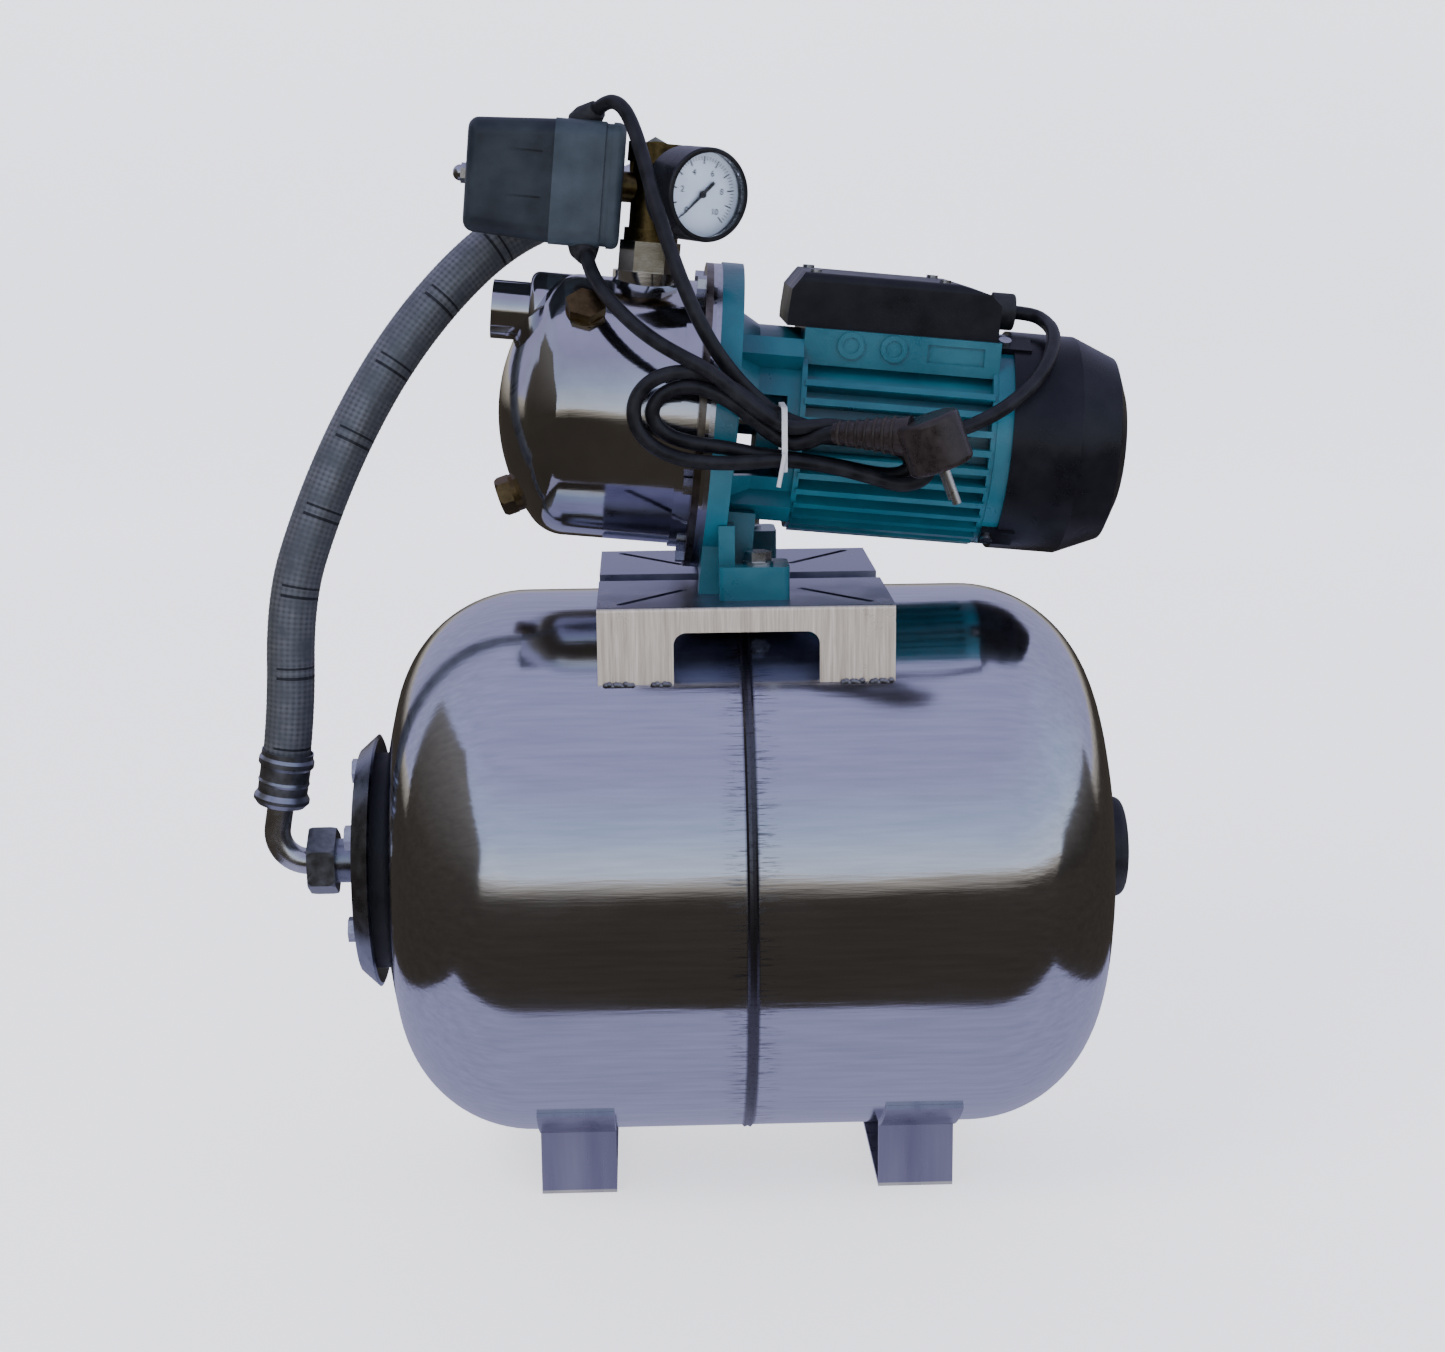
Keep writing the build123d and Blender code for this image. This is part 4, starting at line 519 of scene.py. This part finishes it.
def brushed_plate():
    """Brushed sheet: a warm painted reflection on the skirt at both faces in y, and a cooler
    painted reflection on the sheet between.
    """
    stuff, tree, shader = raw_finish("brushed_plate")
    away = maths(tree, "ABSOLUTE", piece_point(tree)["Y"])
    skirt = spread(tree, away, 0, 1, SKIRT_INSIDE_Y, SKIRT_FACE_Y)
    strokes = grain(tree, 0.0016, (1, 1, 0.035), detail=5.0, rough=0.7)
    cloud = grain(tree, 0.03, detail=5.0)
    # Painted reflections: the same sheet is coloured cool on top and warm on the skirts, as the
    # surroundings light each face.
    cool = ramp(tree, cloud, [(0.3, (0.26, 0.26, 0.36)), (0.7, (0.44, 0.44, 0.55))])
    warm = ramp(tree, strokes, [(0.3, (0.44, 0.37, 0.29)), (0.7, (0.80, 0.73, 0.63))])
    tree.links.new(blend_colour(tree, skirt, cool, warm), shader.inputs["Base Color"])
    tree.links.new(spread(tree, cloud, 0.24, 0.4), shader.inputs["Roughness"])
    first = relief(tree, shader, strokes, 0.00006)
    relief(tree, shader, cloud, 0.0003, first)
    bare = maths(tree, "SUBTRACT", 1.0, maths(tree, "MULTIPLY", skirt, 0.55))
    tree.links.new(bare, shader.inputs["Metallic"])
    return stuff


finish_nodes(brushed_plate(), "pump_plate_front", "pump_plate_back")
foot_steel = plated_steel(
    "foot_steel", (0.30, 0.29, 0.36), (0.52, 0.51, 0.56), 0.22, 0.36, 0.02, (1, 1, 0.1)
)
finish_nodes(foot_steel, "foot_left", "foot_right")


def weld_tack(name, x0, x1, y):
    """A short bead of overlapping ripples, laid along the edge of a sheet."""
    mesh = bmesh.new()
    ripples = max(3, int((x1 - x0) / (TACK_RADIUS * 0.8)))
    for k in range(ripples):
        at = x0 + (x1 - x0) * (k + 0.5) / ripples
        edge = TACK_EDGE_Z + TACK_WAVER * math.sin(k * 2.3)
        place = Matrix.Translation((at, y, edge)) @ Matrix.Diagonal((0.9, 0.55, 1.0, 1.0))
        bmesh.ops.create_icosphere(mesh, subdivisions=3, radius=TACK_RADIUS, matrix=place)
    for face in mesh.faces:
        face.smooth = True
    bead = mesh_piece(name, mesh)
    bead.data.materials.append(weld_metal)
    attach(bead, "set")


weld_metal = plated_steel(
    "weld_metal", (0.16, 0.15, 0.17), (0.42, 0.41, 0.44), 0.25, 0.45, 0.003
)
for side, y in (("front", -TACK_EDGE_Y), ("back", TACK_EDGE_Y)):
    for k, (x0, x1) in enumerate(TACK_SPANS):
        weld_tack("tack_%s_%d" % (side, k), x0, x1, y)

# ---- pump casing ---------------------------------------------------------------------
# The wet end: a deep-drawn stainless cup, polished, with a pressed bulge for the
# suction stub and a welded boss on top, held by a browned clamp ring and eight bolts.
def polished_cup():
    """Mirror-bright drawn sheet: faint draw lines, hand smears, slow hollows."""
    stuff, tree, shader = raw_finish("polished_cup")
    drawn = grain(tree, 0.03, (1, 12, 12), detail=6.0)
    smudge = grain(tree, 0.045, detail=4.0)
    sheet = ramp(tree, smudge, [(0.3, (0.50, 0.50, 0.52)), (0.7, (0.68, 0.68, 0.71))])
    tree.links.new(sheet, shader.inputs["Base Color"])
    tree.links.new(spread(tree, smudge, 0.045, 0.13), shader.inputs["Roughness"])
    first = relief(tree, shader, drawn, 0.00004)
    relief(tree, shader, grain(tree, 0.06, detail=1.0), 0.0009, first)
    shader.inputs["Metallic"].default_value = 1.0
    return stuff


ring_brown = plated_steel(
    "ring_brown", (0.10, 0.08, 0.06), (0.34, 0.30, 0.26), 0.24, 0.42, 0.010
)
plate_bright = plated_steel(
    "plate_bright", (0.48, 0.49, 0.52), (0.72, 0.73, 0.77), 0.14, 0.26, 0.012
)
finish_nodes(polished_cup(), "pump_casing", "suction_stub")
finish_nodes(ring_brown, "casing_clamp_ring")
finish_nodes(bolt_zinc, "casing_bolts")
finish_nodes(plate_bright, "seal_plate")
finish_nodes(membrane_rubber, "casing_o_ring")


# ---- hydraulic parts and plugs -------------------------------------------------------
# Inside the cup: the diffuser and the ejector of grey glass-filled resin, a brass
# impeller on the shaft, and the carbon face seal behind it.  On the cup: two browned
# brass plugs, and the plated nipple under the fitting.
def moulded_resin(name, dark, pale, gloss=0.4, sheen=0.5):
    """Moulded plastic: faint flow clouds and a fine spark-eroded grain."""
    stuff, tree, shader = raw_finish(name)
    cloud = grain(tree, 0.018, detail=5.0)
    tree.links.new(ramp(tree, cloud, [(0.3, dark), (0.72, pale)]), shader.inputs["Base Color"])
    tree.links.new(spread(tree, cloud, gloss, gloss + 0.14), shader.inputs["Roughness"])
    first = relief(tree, shader, grain(tree, 0.0007, detail=2.0), 0.00006)
    relief(tree, shader, cloud, 0.00012, first)
    shader.inputs["Specular IOR Level"].default_value = sheen
    return stuff


def cast_brass(name, dark, pale, low=0.26, high=0.46):
    """Hot-pressed brass, browned by handling and water, with a sand-fine skin."""
    stuff, tree, shader = raw_finish(name)
    tarnish = grain(tree, 0.009, detail=7.0, rough=0.65)
    tree.links.new(ramp(tree, tarnish, [(0.28, dark), (0.7, pale)]), shader.inputs["Base Color"])
    tree.links.new(spread(tree, tarnish, low, high), shader.inputs["Roughness"])
    first = relief(tree, shader, grain(tree, 0.0013), 0.00007)
    relief(tree, shader, tarnish, 0.0002, first)
    shader.inputs["Metallic"].default_value = 1.0
    return stuff


resin_grey = moulded_resin("resin_grey", (0.05, 0.05, 0.055), (0.12, 0.12, 0.13))
carbon_face = moulded_resin("carbon_face", (0.012, 0.012, 0.013), (0.035, 0.035, 0.036), 0.25)
wheel_brass = cast_brass("wheel_brass", (0.42, 0.28, 0.10), (0.74, 0.55, 0.24))
plug_brass = cast_brass("plug_brass", (0.075, 0.050, 0.022), (0.27, 0.19, 0.085), 0.34, 0.52)
nipple_plated = plated_steel(
    "nipple_plated", (0.34, 0.31, 0.24), (0.66, 0.64, 0.56), 0.14, 0.3, 0.012
)
finish_nodes(resin_grey, "diffuser", "ejector")
finish_nodes(wheel_brass, "impeller")
finish_nodes(carbon_face, "seal_head")
finish_nodes(plug_brass, "casing_plugs")
finish_nodes(nipple_plated, "hex_nipple")


# ---- bracket and motor housing -------------------------------------------------------
# Die-cast aluminium under teal enamel.  The enamel is thick and a little uneven, with
# specks of dust all over it; zinc-plated bolts hold the foot.
def teal_enamel():
    """Thick enamel: cloudy colour, dust in specks, orange peel over slow waves."""
    stuff, tree, shader = raw_finish("teal_enamel")
    coat = grain(tree, 0.035, detail=5.0)
    dust = grain(tree, 0.006, detail=8.0, rough=0.7)
    paint = ramp(tree, coat, [(0.25, (0.009, 0.076, 0.112)), (0.75, (0.016, 0.128, 0.172))])
    speck = spread(tree, dust, 0, 0.35, 0.58, 0.72)
    dusty = blend_colour(tree, speck, paint, (0.03, 0.10, 0.12))
    tree.links.new(dusty, shader.inputs["Base Color"])
    tree.links.new(spread(tree, coat, 0.26, 0.4), shader.inputs["Roughness"])
    first = relief(tree, shader, grain(tree, 0.0016, detail=2.0), 0.00010)
    relief(tree, shader, grain(tree, 0.011), 0.0004, first)
    shader.inputs["Coat Weight"].default_value = 0.35
    shader.inputs["Coat Roughness"].default_value = 0.18
    return stuff


finish_nodes(teal_enamel(), "motor_bracket", "motor_housing", "rear_end_shield")
finish_nodes(bolt_zinc, "pump_foot_bolts")

# ---- motor inside --------------------------------------------------------------------
# Laminated core, varnished copper coils, a die-cast rotor on a ground shaft, and two
# ball bearings.  None of it shows until the motor is opened.
lamination = plated_steel(
    "lamination", (0.16, 0.16, 0.17), (0.34, 0.34, 0.36), 0.3, 0.5, 0.004, (60, 1, 1)
)
ground_shaft = plated_steel(
    "ground_shaft", (0.50, 0.50, 0.52), (0.70, 0.70, 0.72), 0.1, 0.2, 0.004, (20, 1, 1)
)
copper_varnish = cast_brass("copper_varnish", (0.30, 0.10, 0.04), (0.62, 0.28, 0.12), 0.2, 0.4)
finish_nodes(lamination, "stator_core", "rotor_core")
finish_nodes(copper_varnish, "stator_windings")
finish_nodes(ground_shaft, "motor_shaft", "motor_bearings")

# ---- fan cover, fan and terminal box -------------------------------------------------
# Black moulded cover over the fan at the end of the motor, and a black box on top that
# holds the start capacitor.  Screws hold the box's lid and the cover.
cover_black = moulded_resin(
    "cover_black", (0.003, 0.003, 0.005), (0.009, 0.009, 0.013), 0.24, 0.32
)
box_black = moulded_resin("box_black", (0.004, 0.004, 0.006), (0.010, 0.010, 0.014), 0.3, 0.3)
can_white = moulded_resin("can_white", (0.55, 0.55, 0.53), (0.70, 0.70, 0.68), 0.3)
finish_nodes(cover_black, "fan_cover", "cooling_fan")
finish_nodes(box_black, "terminal_box_cover", "terminal_box_base")
finish_nodes(bolt_zinc, "motor_screws")
finish_nodes(can_white, "capacitor")

# ---- five-way fitting ----------------------------------------------------------------
# One brass casting joins the casing to the outlet, the hose, the switch and the gauge.
# It has gone dark and olive, bright only where spanners and hands have rubbed it.
fitting_brass = cast_brass("fitting_brass", (0.060, 0.042, 0.018), (0.30, 0.22, 0.085))
finish_nodes(fitting_brass, "five_way_fitting")

# ---- pressure gauge ------------------------------------------------------------------
# Black painted steel case with a pale blue-grey printed dial, a black pointer on its
# lowest mark and a clear lens.  Marks and figures run three quarters of the way round.
case_black = moulded_resin("case_black", (0.003, 0.003, 0.004), (0.010, 0.010, 0.013), 0.2)
dial_paper = moulded_resin("dial_paper", (0.50, 0.58, 0.68), (0.58, 0.66, 0.76), 0.45)
ink = moulded_resin("ink", (0.004, 0.004, 0.006), (0.010, 0.010, 0.014), 0.5)


def clear_lens():
    """Thin clear window with a breath of haze."""
    stuff, tree, shader = raw_finish("clear_lens")
    haze = grain(tree, 0.012, detail=6.0)
    glass = ramp(tree, haze, [(0.2, (0.94, 0.96, 1.0)), (0.8, (1.0, 1.0, 1.0))])
    tree.links.new(glass, shader.inputs["Base Color"])
    tree.links.new(spread(tree, haze, 0.0, 0.03), shader.inputs["Roughness"])
    shader.inputs["Transmission Weight"].default_value = 1.0
    shader.inputs["IOR"].default_value = 1.12
    shader.inputs["Alpha"].default_value = 0.35
    return stuff


finish_nodes(case_black, "gauge_case")
finish_nodes(dial_paper, "gauge_dial")
finish_nodes(ink, "gauge_needle")
finish_nodes(clear_lens(), "gauge_lens")

DIAL_MARK_R = 0.0205
DIAL_FIGURE_R = 0.0128
DIAL_FIRST = 225.0
DIAL_SWEEP = 270.0
DIAL_STEPS, STEPS_PER_LONG_MARK = 50, 5
LONG_MARK, LONG_HALF_WIDTH = 0.0042, 0.00034
SHORT_MARK, SHORT_HALF_WIDTH = 0.0022, 0.00016
INK_THICK = 0.00012
PIVOT_TO_DIAL = 0.0021
PUMP_LEAN = math.radians(5.4)
swing = next(j for j in frame["joints"] if j["name"] == "gauge_swing")
dial_out = Vector(swing["axis"]).normalized()
dial_up = Vector((math.sin(PUMP_LEAN), 0, math.cos(PUMP_LEAN)))
dial_across = dial_up.cross(dial_out).normalized()
dial_middle = Vector(swing["pos_m"]) + dial_out * PIVOT_TO_DIAL


def dial_place(angle, radius, lift):
    """A point on the dial, at an angle in degrees and a lift off its face."""
    a = math.radians(angle)
    way = math.cos(a) * dial_across + math.sin(a) * dial_up
    return dial_middle + radius * way + dial_out * lift


marks = bmesh.new()
for k in range(DIAL_STEPS + 1):
    angle = DIAL_FIRST - DIAL_SWEEP * k / DIAL_STEPS
    long_mark = k % STEPS_PER_LONG_MARK == 0
    inner = DIAL_MARK_R - (LONG_MARK if long_mark else SHORT_MARK)
    half = LONG_HALF_WIDTH if long_mark else SHORT_HALF_WIDTH
    a = math.radians(angle)
    side = (-math.sin(a) * dial_across + math.cos(a) * dial_up) * half
    ends = (dial_place(angle, inner, 0), dial_place(angle, DIAL_MARK_R, 0))
    low = [marks.verts.new(ends[e] + side * w) for e, w in ((0, 1), (0, -1), (1, -1), (1, 1))]
    top = [marks.verts.new(v.co + dial_out * INK_THICK) for v in low]
    marks.faces.new(top)
    for m in range(4):
        marks.faces.new((low[m], low[(m + 1) % 4], top[(m + 1) % 4], top[m]))
bmesh.ops.recalc_face_normals(marks, faces=marks.faces)
dial_marks = mesh_piece("dial_marks", marks)
dial_marks.data.materials.append(ink)
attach(dial_marks, "set")

FIGURES = ("0", "2", "4", "6", "8", "10")
for k, figure in enumerate(FIGURES):
    letter = bpy.data.curves.new("dial_figure_%d" % k, "FONT")
    letter.body = figure
    letter.size = 0.0048
    letter.align_x = "CENTER"
    letter.align_y = "CENTER"
    letter.extrude = 0.00005
    numeral = bpy.data.objects.new("dial_figure_%d" % k, letter)
    angle = DIAL_FIRST - DIAL_SWEEP * k / (len(FIGURES) - 1)
    spot = dial_place(angle, DIAL_FIGURE_R, 0.00008)
    numeral.matrix_world = axes_matrix(dial_across, dial_up, dial_out, spot)
    bpy.context.scene.collection.objects.link(numeral)
    numeral.data.materials.append(ink)
    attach(numeral, "set")

# ---- pressure switch -----------------------------------------------------------------
# A blue-grey moulded base carries the contacts; a darker cover is held by one acorn nut
# on the spring post.  Soft rubber glands let the leads in, two here and one on the
# motor's box.
switch_slate = moulded_resin(
    "switch_slate", (0.024, 0.034, 0.045), (0.045, 0.060, 0.075), 0.33, 0.4
)
switch_charcoal = moulded_resin(
    "switch_charcoal", (0.009, 0.012, 0.017), (0.021, 0.027, 0.035), 0.31, 0.4
)
gland_rubber = dull_rubber("gland_rubber", (0.008, 0.008, 0.010), (0.026, 0.026, 0.030))
finish_nodes(switch_slate, "switch_base")
finish_nodes(switch_charcoal, "switch_cover")
finish_nodes(membrane_rubber, "switch_diaphragm")
finish_nodes(resin_grey, "switch_piston")
finish_nodes(bolt_zinc, "switch_spring_post", "switch_lever")
finish_nodes(plate_bright, "switch_cap_nut")
finish_nodes(gland_rubber, "cable_glands")

# ---- plug and twist tie --------------------------------------------------------------
# A moulded right-angle plug with two round nickel pins.  Its neck has soft ribs so the
# lead can bend; a pale plastic-coated wire is twisted round the bundle.
PLUG_NECK_FROM = Vector((0.096974, -0.127, 0.449819))
PLUG_NECK_WAY = Vector((-0.94, 0.34, 0.02)).normalized()
NECK_START, NECK_START_R, NECK_TAPER = 0.0115, 0.011, 0.0054 / 0.042
RIB_FIRST, RIB_LAST, RIB_COUNT = 0.020, 0.050, 7
RIB_HALF_WIDTH, RIB_RISE = 0.0010, 0.0007
RIB_SIDES, RIB_ROUND = 40, 10
PIN_LEAN = math.radians(20.0)
PLUG_MIDDLE_X, PLUG_MIDDLE_Z, PLUG_FACE_DOWN = 0.098, 0.447, 0.0142

plug_black = moulded_resin("plug_black", (0.010, 0.007, 0.006), (0.030, 0.022, 0.019), 0.3)
tie_grey = moulded_resin("tie_grey", (0.36, 0.37, 0.39), (0.55, 0.56, 0.58), 0.42)


def plug_finish():
    """Black body, bright pins: the pins are what stands below the plug's face."""
    stuff, tree, shader = raw_finish("plug_and_pins")
    point = piece_point(tree)
    aside = maths(tree, "SUBTRACT", point["X"], PLUG_MIDDLE_X)
    rise = maths(tree, "SUBTRACT", point["Z"], PLUG_MIDDLE_Z)
    down = maths(
        tree, "ADD",
        maths(tree, "MULTIPLY", aside, math.sin(PIN_LEAN)),
        maths(tree, "MULTIPLY", rise, -math.cos(PIN_LEAN)),
    )
    pins = maths(tree, "GREATER_THAN", down, PLUG_FACE_DOWN)
    cloud = grain(tree, 0.007, detail=6.0)
    body = ramp(tree, cloud, [(0.3, (0.009, 0.006, 0.006)), (0.72, (0.026, 0.019, 0.018))])
    plug = blend_colour(tree, pins, body, (0.75, 0.74, 0.72))
    tree.links.new(plug, shader.inputs["Base Color"])
    tree.links.new(pins, shader.inputs["Metallic"])
    tree.links.new(spread(tree, cloud, 0.22, 0.4), shader.inputs["Roughness"])
    relief(tree, shader, grain(tree, 0.001), 0.00006)
    return stuff


ribs = bmesh.new()
neck_side = PLUG_NECK_WAY.orthogonal().normalized()
neck_up = PLUG_NECK_WAY.cross(neck_side)
for k in range(RIB_COUNT):
    far = RIB_FIRST + (RIB_LAST - RIB_FIRST) * k / (RIB_COUNT - 1)
    around_r = NECK_START_R - (far - NECK_START) * NECK_TAPER
    hoop = []
    for m in range(RIB_SIDES):
        a = 2 * math.pi * m / RIB_SIDES
        out = math.cos(a) * neck_side + math.sin(a) * neck_up
        ring = []
        for n in range(RIB_ROUND):
            b = 2 * math.pi * n / RIB_ROUND
            along = PLUG_NECK_WAY * (far + RIB_HALF_WIDTH * math.sin(b))
            off = out * (around_r + RIB_RISE * math.cos(b))
            ring.append(ribs.verts.new(PLUG_NECK_FROM + along + off))
        hoop.append(ring)
    for near, last in zip(hoop, hoop[1:] + hoop[:1]):
        for n in range(RIB_ROUND):
            beyond = (n + 1) % RIB_ROUND
            face = ribs.faces.new((near[n], near[beyond], last[beyond], last[n]))
            face.smooth = True
bmesh.ops.recalc_face_normals(ribs, faces=ribs.faces)
plug_ribs = mesh_piece("plug_ribs", ribs)
plug_ribs.data.materials.append(plug_black)
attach(plug_ribs, "set")
finish_nodes(plug_finish(), "mains_plug")
finish_nodes(tie_grey, "cable_tie")


# ---- floor and light -----------------------------------------------------------------
# A plain pale floor that curves up behind, an overcast sky, a broad soft lamp from the
# upper left and a weaker one from the right.  Glowing sheets for dark ground, a lilac
# sheet under the set, a warm hedge and trees stand all round; only reflections pick
# them up, so they are painted reflections.
def pale_floor():
    """Matt pale paper, lit a little from within."""
    stuff, tree, shader = raw_finish("pale_floor")
    fibre = grain(tree, 0.4, detail=3.0)
    paper = ramp(tree, fibre, [(0.3, (0.90, 0.90, 0.92)), (0.7, (0.94, 0.94, 0.96))])
    tree.links.new(paper, shader.inputs["Base Color"])
    shader.inputs["Roughness"].default_value = 0.9
    shader.inputs["Specular IOR Level"].default_value = 0.1
    shader.inputs["Emission Color"].default_value = (0.97, 0.97, 1.0, 1.0)
    shader.inputs["Emission Strength"].default_value = 1.15
    return stuff


def flat_sheet(name, corners, faces, stuff):
    """A sheet of the surroundings, from its corners and faces."""
    data = bpy.data.meshes.new(name)
    data.from_pydata(corners, [], faces)
    sheet = bpy.data.objects.new(name, data)
    bpy.context.scene.collection.objects.link(sheet)
    data.materials.append(stuff)
    return sheet


def ground_glow(name, low, high=None, foot=0.0, head=1.0):
    """A plain glow, or one that runs from one colour at foot height to another."""
    stuff = bpy.data.materials.new(name)
    stuff.use_nodes = True
    tree = stuff.node_tree
    tree.nodes.clear()
    glow = tree.nodes.new("ShaderNodeEmission")
    glow.inputs["Color"].default_value = (low[0], low[1], low[2], 1.0)
    if high is not None:
        rise = spread(tree, piece_point(tree)["Z"], 0, 1, foot, head)
        tree.links.new(blend_colour(tree, rise, low, high), glow.inputs["Color"])
    out = tree.nodes.new("ShaderNodeOutputMaterial")
    tree.links.new(glow.outputs["Emission"], out.inputs["Surface"])
    return stuff


FLOOR_REACH = 14.0
BACK_Y, BACK_CURVE, BACK_TOP, BACK_STEPS = 2.6, 1.2, 5.0, 12
sweep_line = [(-FLOOR_REACH, 0.0), (BACK_Y, 0.0)]
for step in range(1, BACK_STEPS + 1):
    a = math.pi / 2 * step / BACK_STEPS
    sweep_line.append((BACK_Y + BACK_CURVE * math.sin(a), BACK_CURVE * (1 - math.cos(a))))
sweep_line.append((BACK_Y + BACK_CURVE, BACK_TOP))
floor_corners = [(x, y, z) for y, z in sweep_line for x in (-FLOOR_REACH, FLOOR_REACH)]
floor_faces = [(2 * k, 2 * k + 1, 2 * k + 3, 2 * k + 2) for k in range(len(sweep_line) - 1)]
floor = flat_sheet("floor", floor_corners, floor_faces, pale_floor())
for face in floor.data.polygons:
    face.use_smooth = True
floor.visible_glossy = False

NEAR_X, NEAR_Y, FAR = 0.42, 0.27, 5.0
CARD_Z, HEDGE = 0.002, 0.75


def oblong(half_x, half_y, z):
    """The four corners of an oblong about the middle, at one height."""
    return [(-half_x, -half_y, z), (half_x, -half_y, z), (half_x, half_y, z), (-half_x, half_y, z)]


# Glowing sheets seen only in reflections: painted reflections of the surroundings on the shiny
# parts.
inner = oblong(NEAR_X, NEAR_Y, CARD_Z)
outer = oblong(FAR, FAR, CARD_Z)
ground = flat_sheet(
    "dark_ground", inner + outer,
    [(4, 5, 1, 0), (5, 6, 2, 1), (6, 7, 3, 2), (7, 4, 0, 3)],
    ground_glow("dark_ground", (0.050, 0.042, 0.034)),
)
mat = flat_sheet(
    "lilac_reflection_sheet", inner, [(0, 1, 2, 3)], ground_glow("lilac_reflection_sheet", (0.36, 0.36, 0.56))
)
hedge = flat_sheet(
    "warm_hedge", outer + oblong(FAR, FAR, HEDGE),
    [(0, 1, 5, 4), (1, 2, 6, 5), (2, 3, 7, 6), (3, 0, 4, 7)],
    ground_glow("warm_hedge", (0.05, 0.042, 0.034), (0.62, 0.57, 0.48), 0.1, HEDGE),
)
trees_left = flat_sheet(
    "trees_left",
    [(-3.2, -4.4, 0.0), (-3.2, 1.4, 0.0), (-3.2, 1.4, 2.6), (-3.2, -1.2, 3.4), (-3.2, -4.4, 1.9)],
    [(0, 1, 2, 3, 4)],
    ground_glow("trees_left", (0.055, 0.047, 0.038), (0.17, 0.16, 0.15), 0.4, 2.6),
)
trees_right = flat_sheet(
    "trees_right",
    [(3.4, -2.2, 0.0), (3.4, 1.4, 0.0), (3.4, 1.4, 1.1), (3.4, -1.2, 0.9)],
    [(0, 1, 2, 3)],
    ground_glow("trees_right", (0.04, 0.035, 0.03), (0.12, 0.11, 0.10), 0.2, 1.0),
)
for card in (ground, mat, hedge, trees_left, trees_right):
    card.visible_camera = False
    card.visible_diffuse = False
    card.visible_shadow = False
    card.visible_transmission = False

sky = bpy.data.worlds.new("sky")
sky.use_nodes = True
bpy.context.scene.world = sky
sky_tree = sky.node_tree
sky_place = sky_tree.nodes.new("ShaderNodeTexCoord")
sky_split = sky_tree.nodes.new("ShaderNodeSeparateXYZ")
sky_tree.links.new(sky_place.outputs["Generated"], sky_split.inputs["Vector"])
cloud = sky_tree.nodes.new("ShaderNodeTexNoise")
cloud.inputs["Scale"].default_value = 2.2
cloud.inputs["Detail"].default_value = 3.0
sky_tree.links.new(sky_place.outputs["Generated"], cloud.inputs["Vector"])
drift = maths(sky_tree, "SUBTRACT", cloud.outputs["Fac"], 0.5)
drift = maths(sky_tree, "MULTIPLY", drift, 0.25)
height = maths(sky_tree, "ADD", sky_split.outputs["Z"], drift)
sky_colour = ramp(
    sky_tree, height,
    [
        (0.0, (0.90, 0.91, 0.93)), (0.12, (0.78, 0.86, 1.0)),
        (0.4, (0.50, 0.60, 0.84)), (0.8, (0.42, 0.42, 0.68)),
    ],
)
behind = spread(sky_tree, sky_split.outputs["Y"], 0, 1, 0.0, 0.55)
sky_all = blend_colour(sky_tree, behind, sky_colour, (0.40, 0.40, 0.62))
sky_tree.links.new(sky_all, sky_tree.nodes["Background"].inputs["Color"])
sky_tree.nodes["Background"].inputs["Strength"].default_value = 1.0


def soft_lamp(name, place, target, width, depth, power, colour):
    """A broad soft light aimed at a point, unseen in reflections."""
    data = bpy.data.lights.new(name, "AREA")
    data.shape = "RECTANGLE"
    data.size = width
    data.size_y = depth
    data.energy = power
    data.color = colour
    lamp = bpy.data.objects.new(name, data)
    lamp.location = place
    lamp.rotation_euler = (Vector(target) - Vector(place)).to_track_quat("-Z", "Y").to_euler()
    lamp.visible_glossy = False
    bpy.context.scene.collection.objects.link(lamp)


soft_lamp("main_lamp", (-1.6, -1.5, 2.3), (0.0, 0.0, 0.3), 1.4, 1.0, 44.0, (1.0, 0.98, 0.96))
soft_lamp("fill_lamp", (1.9, -1.2, 1.5), (0.0, 0.0, 0.35), 0.9, 1.2, 12.0, (0.93, 0.96, 1.0))
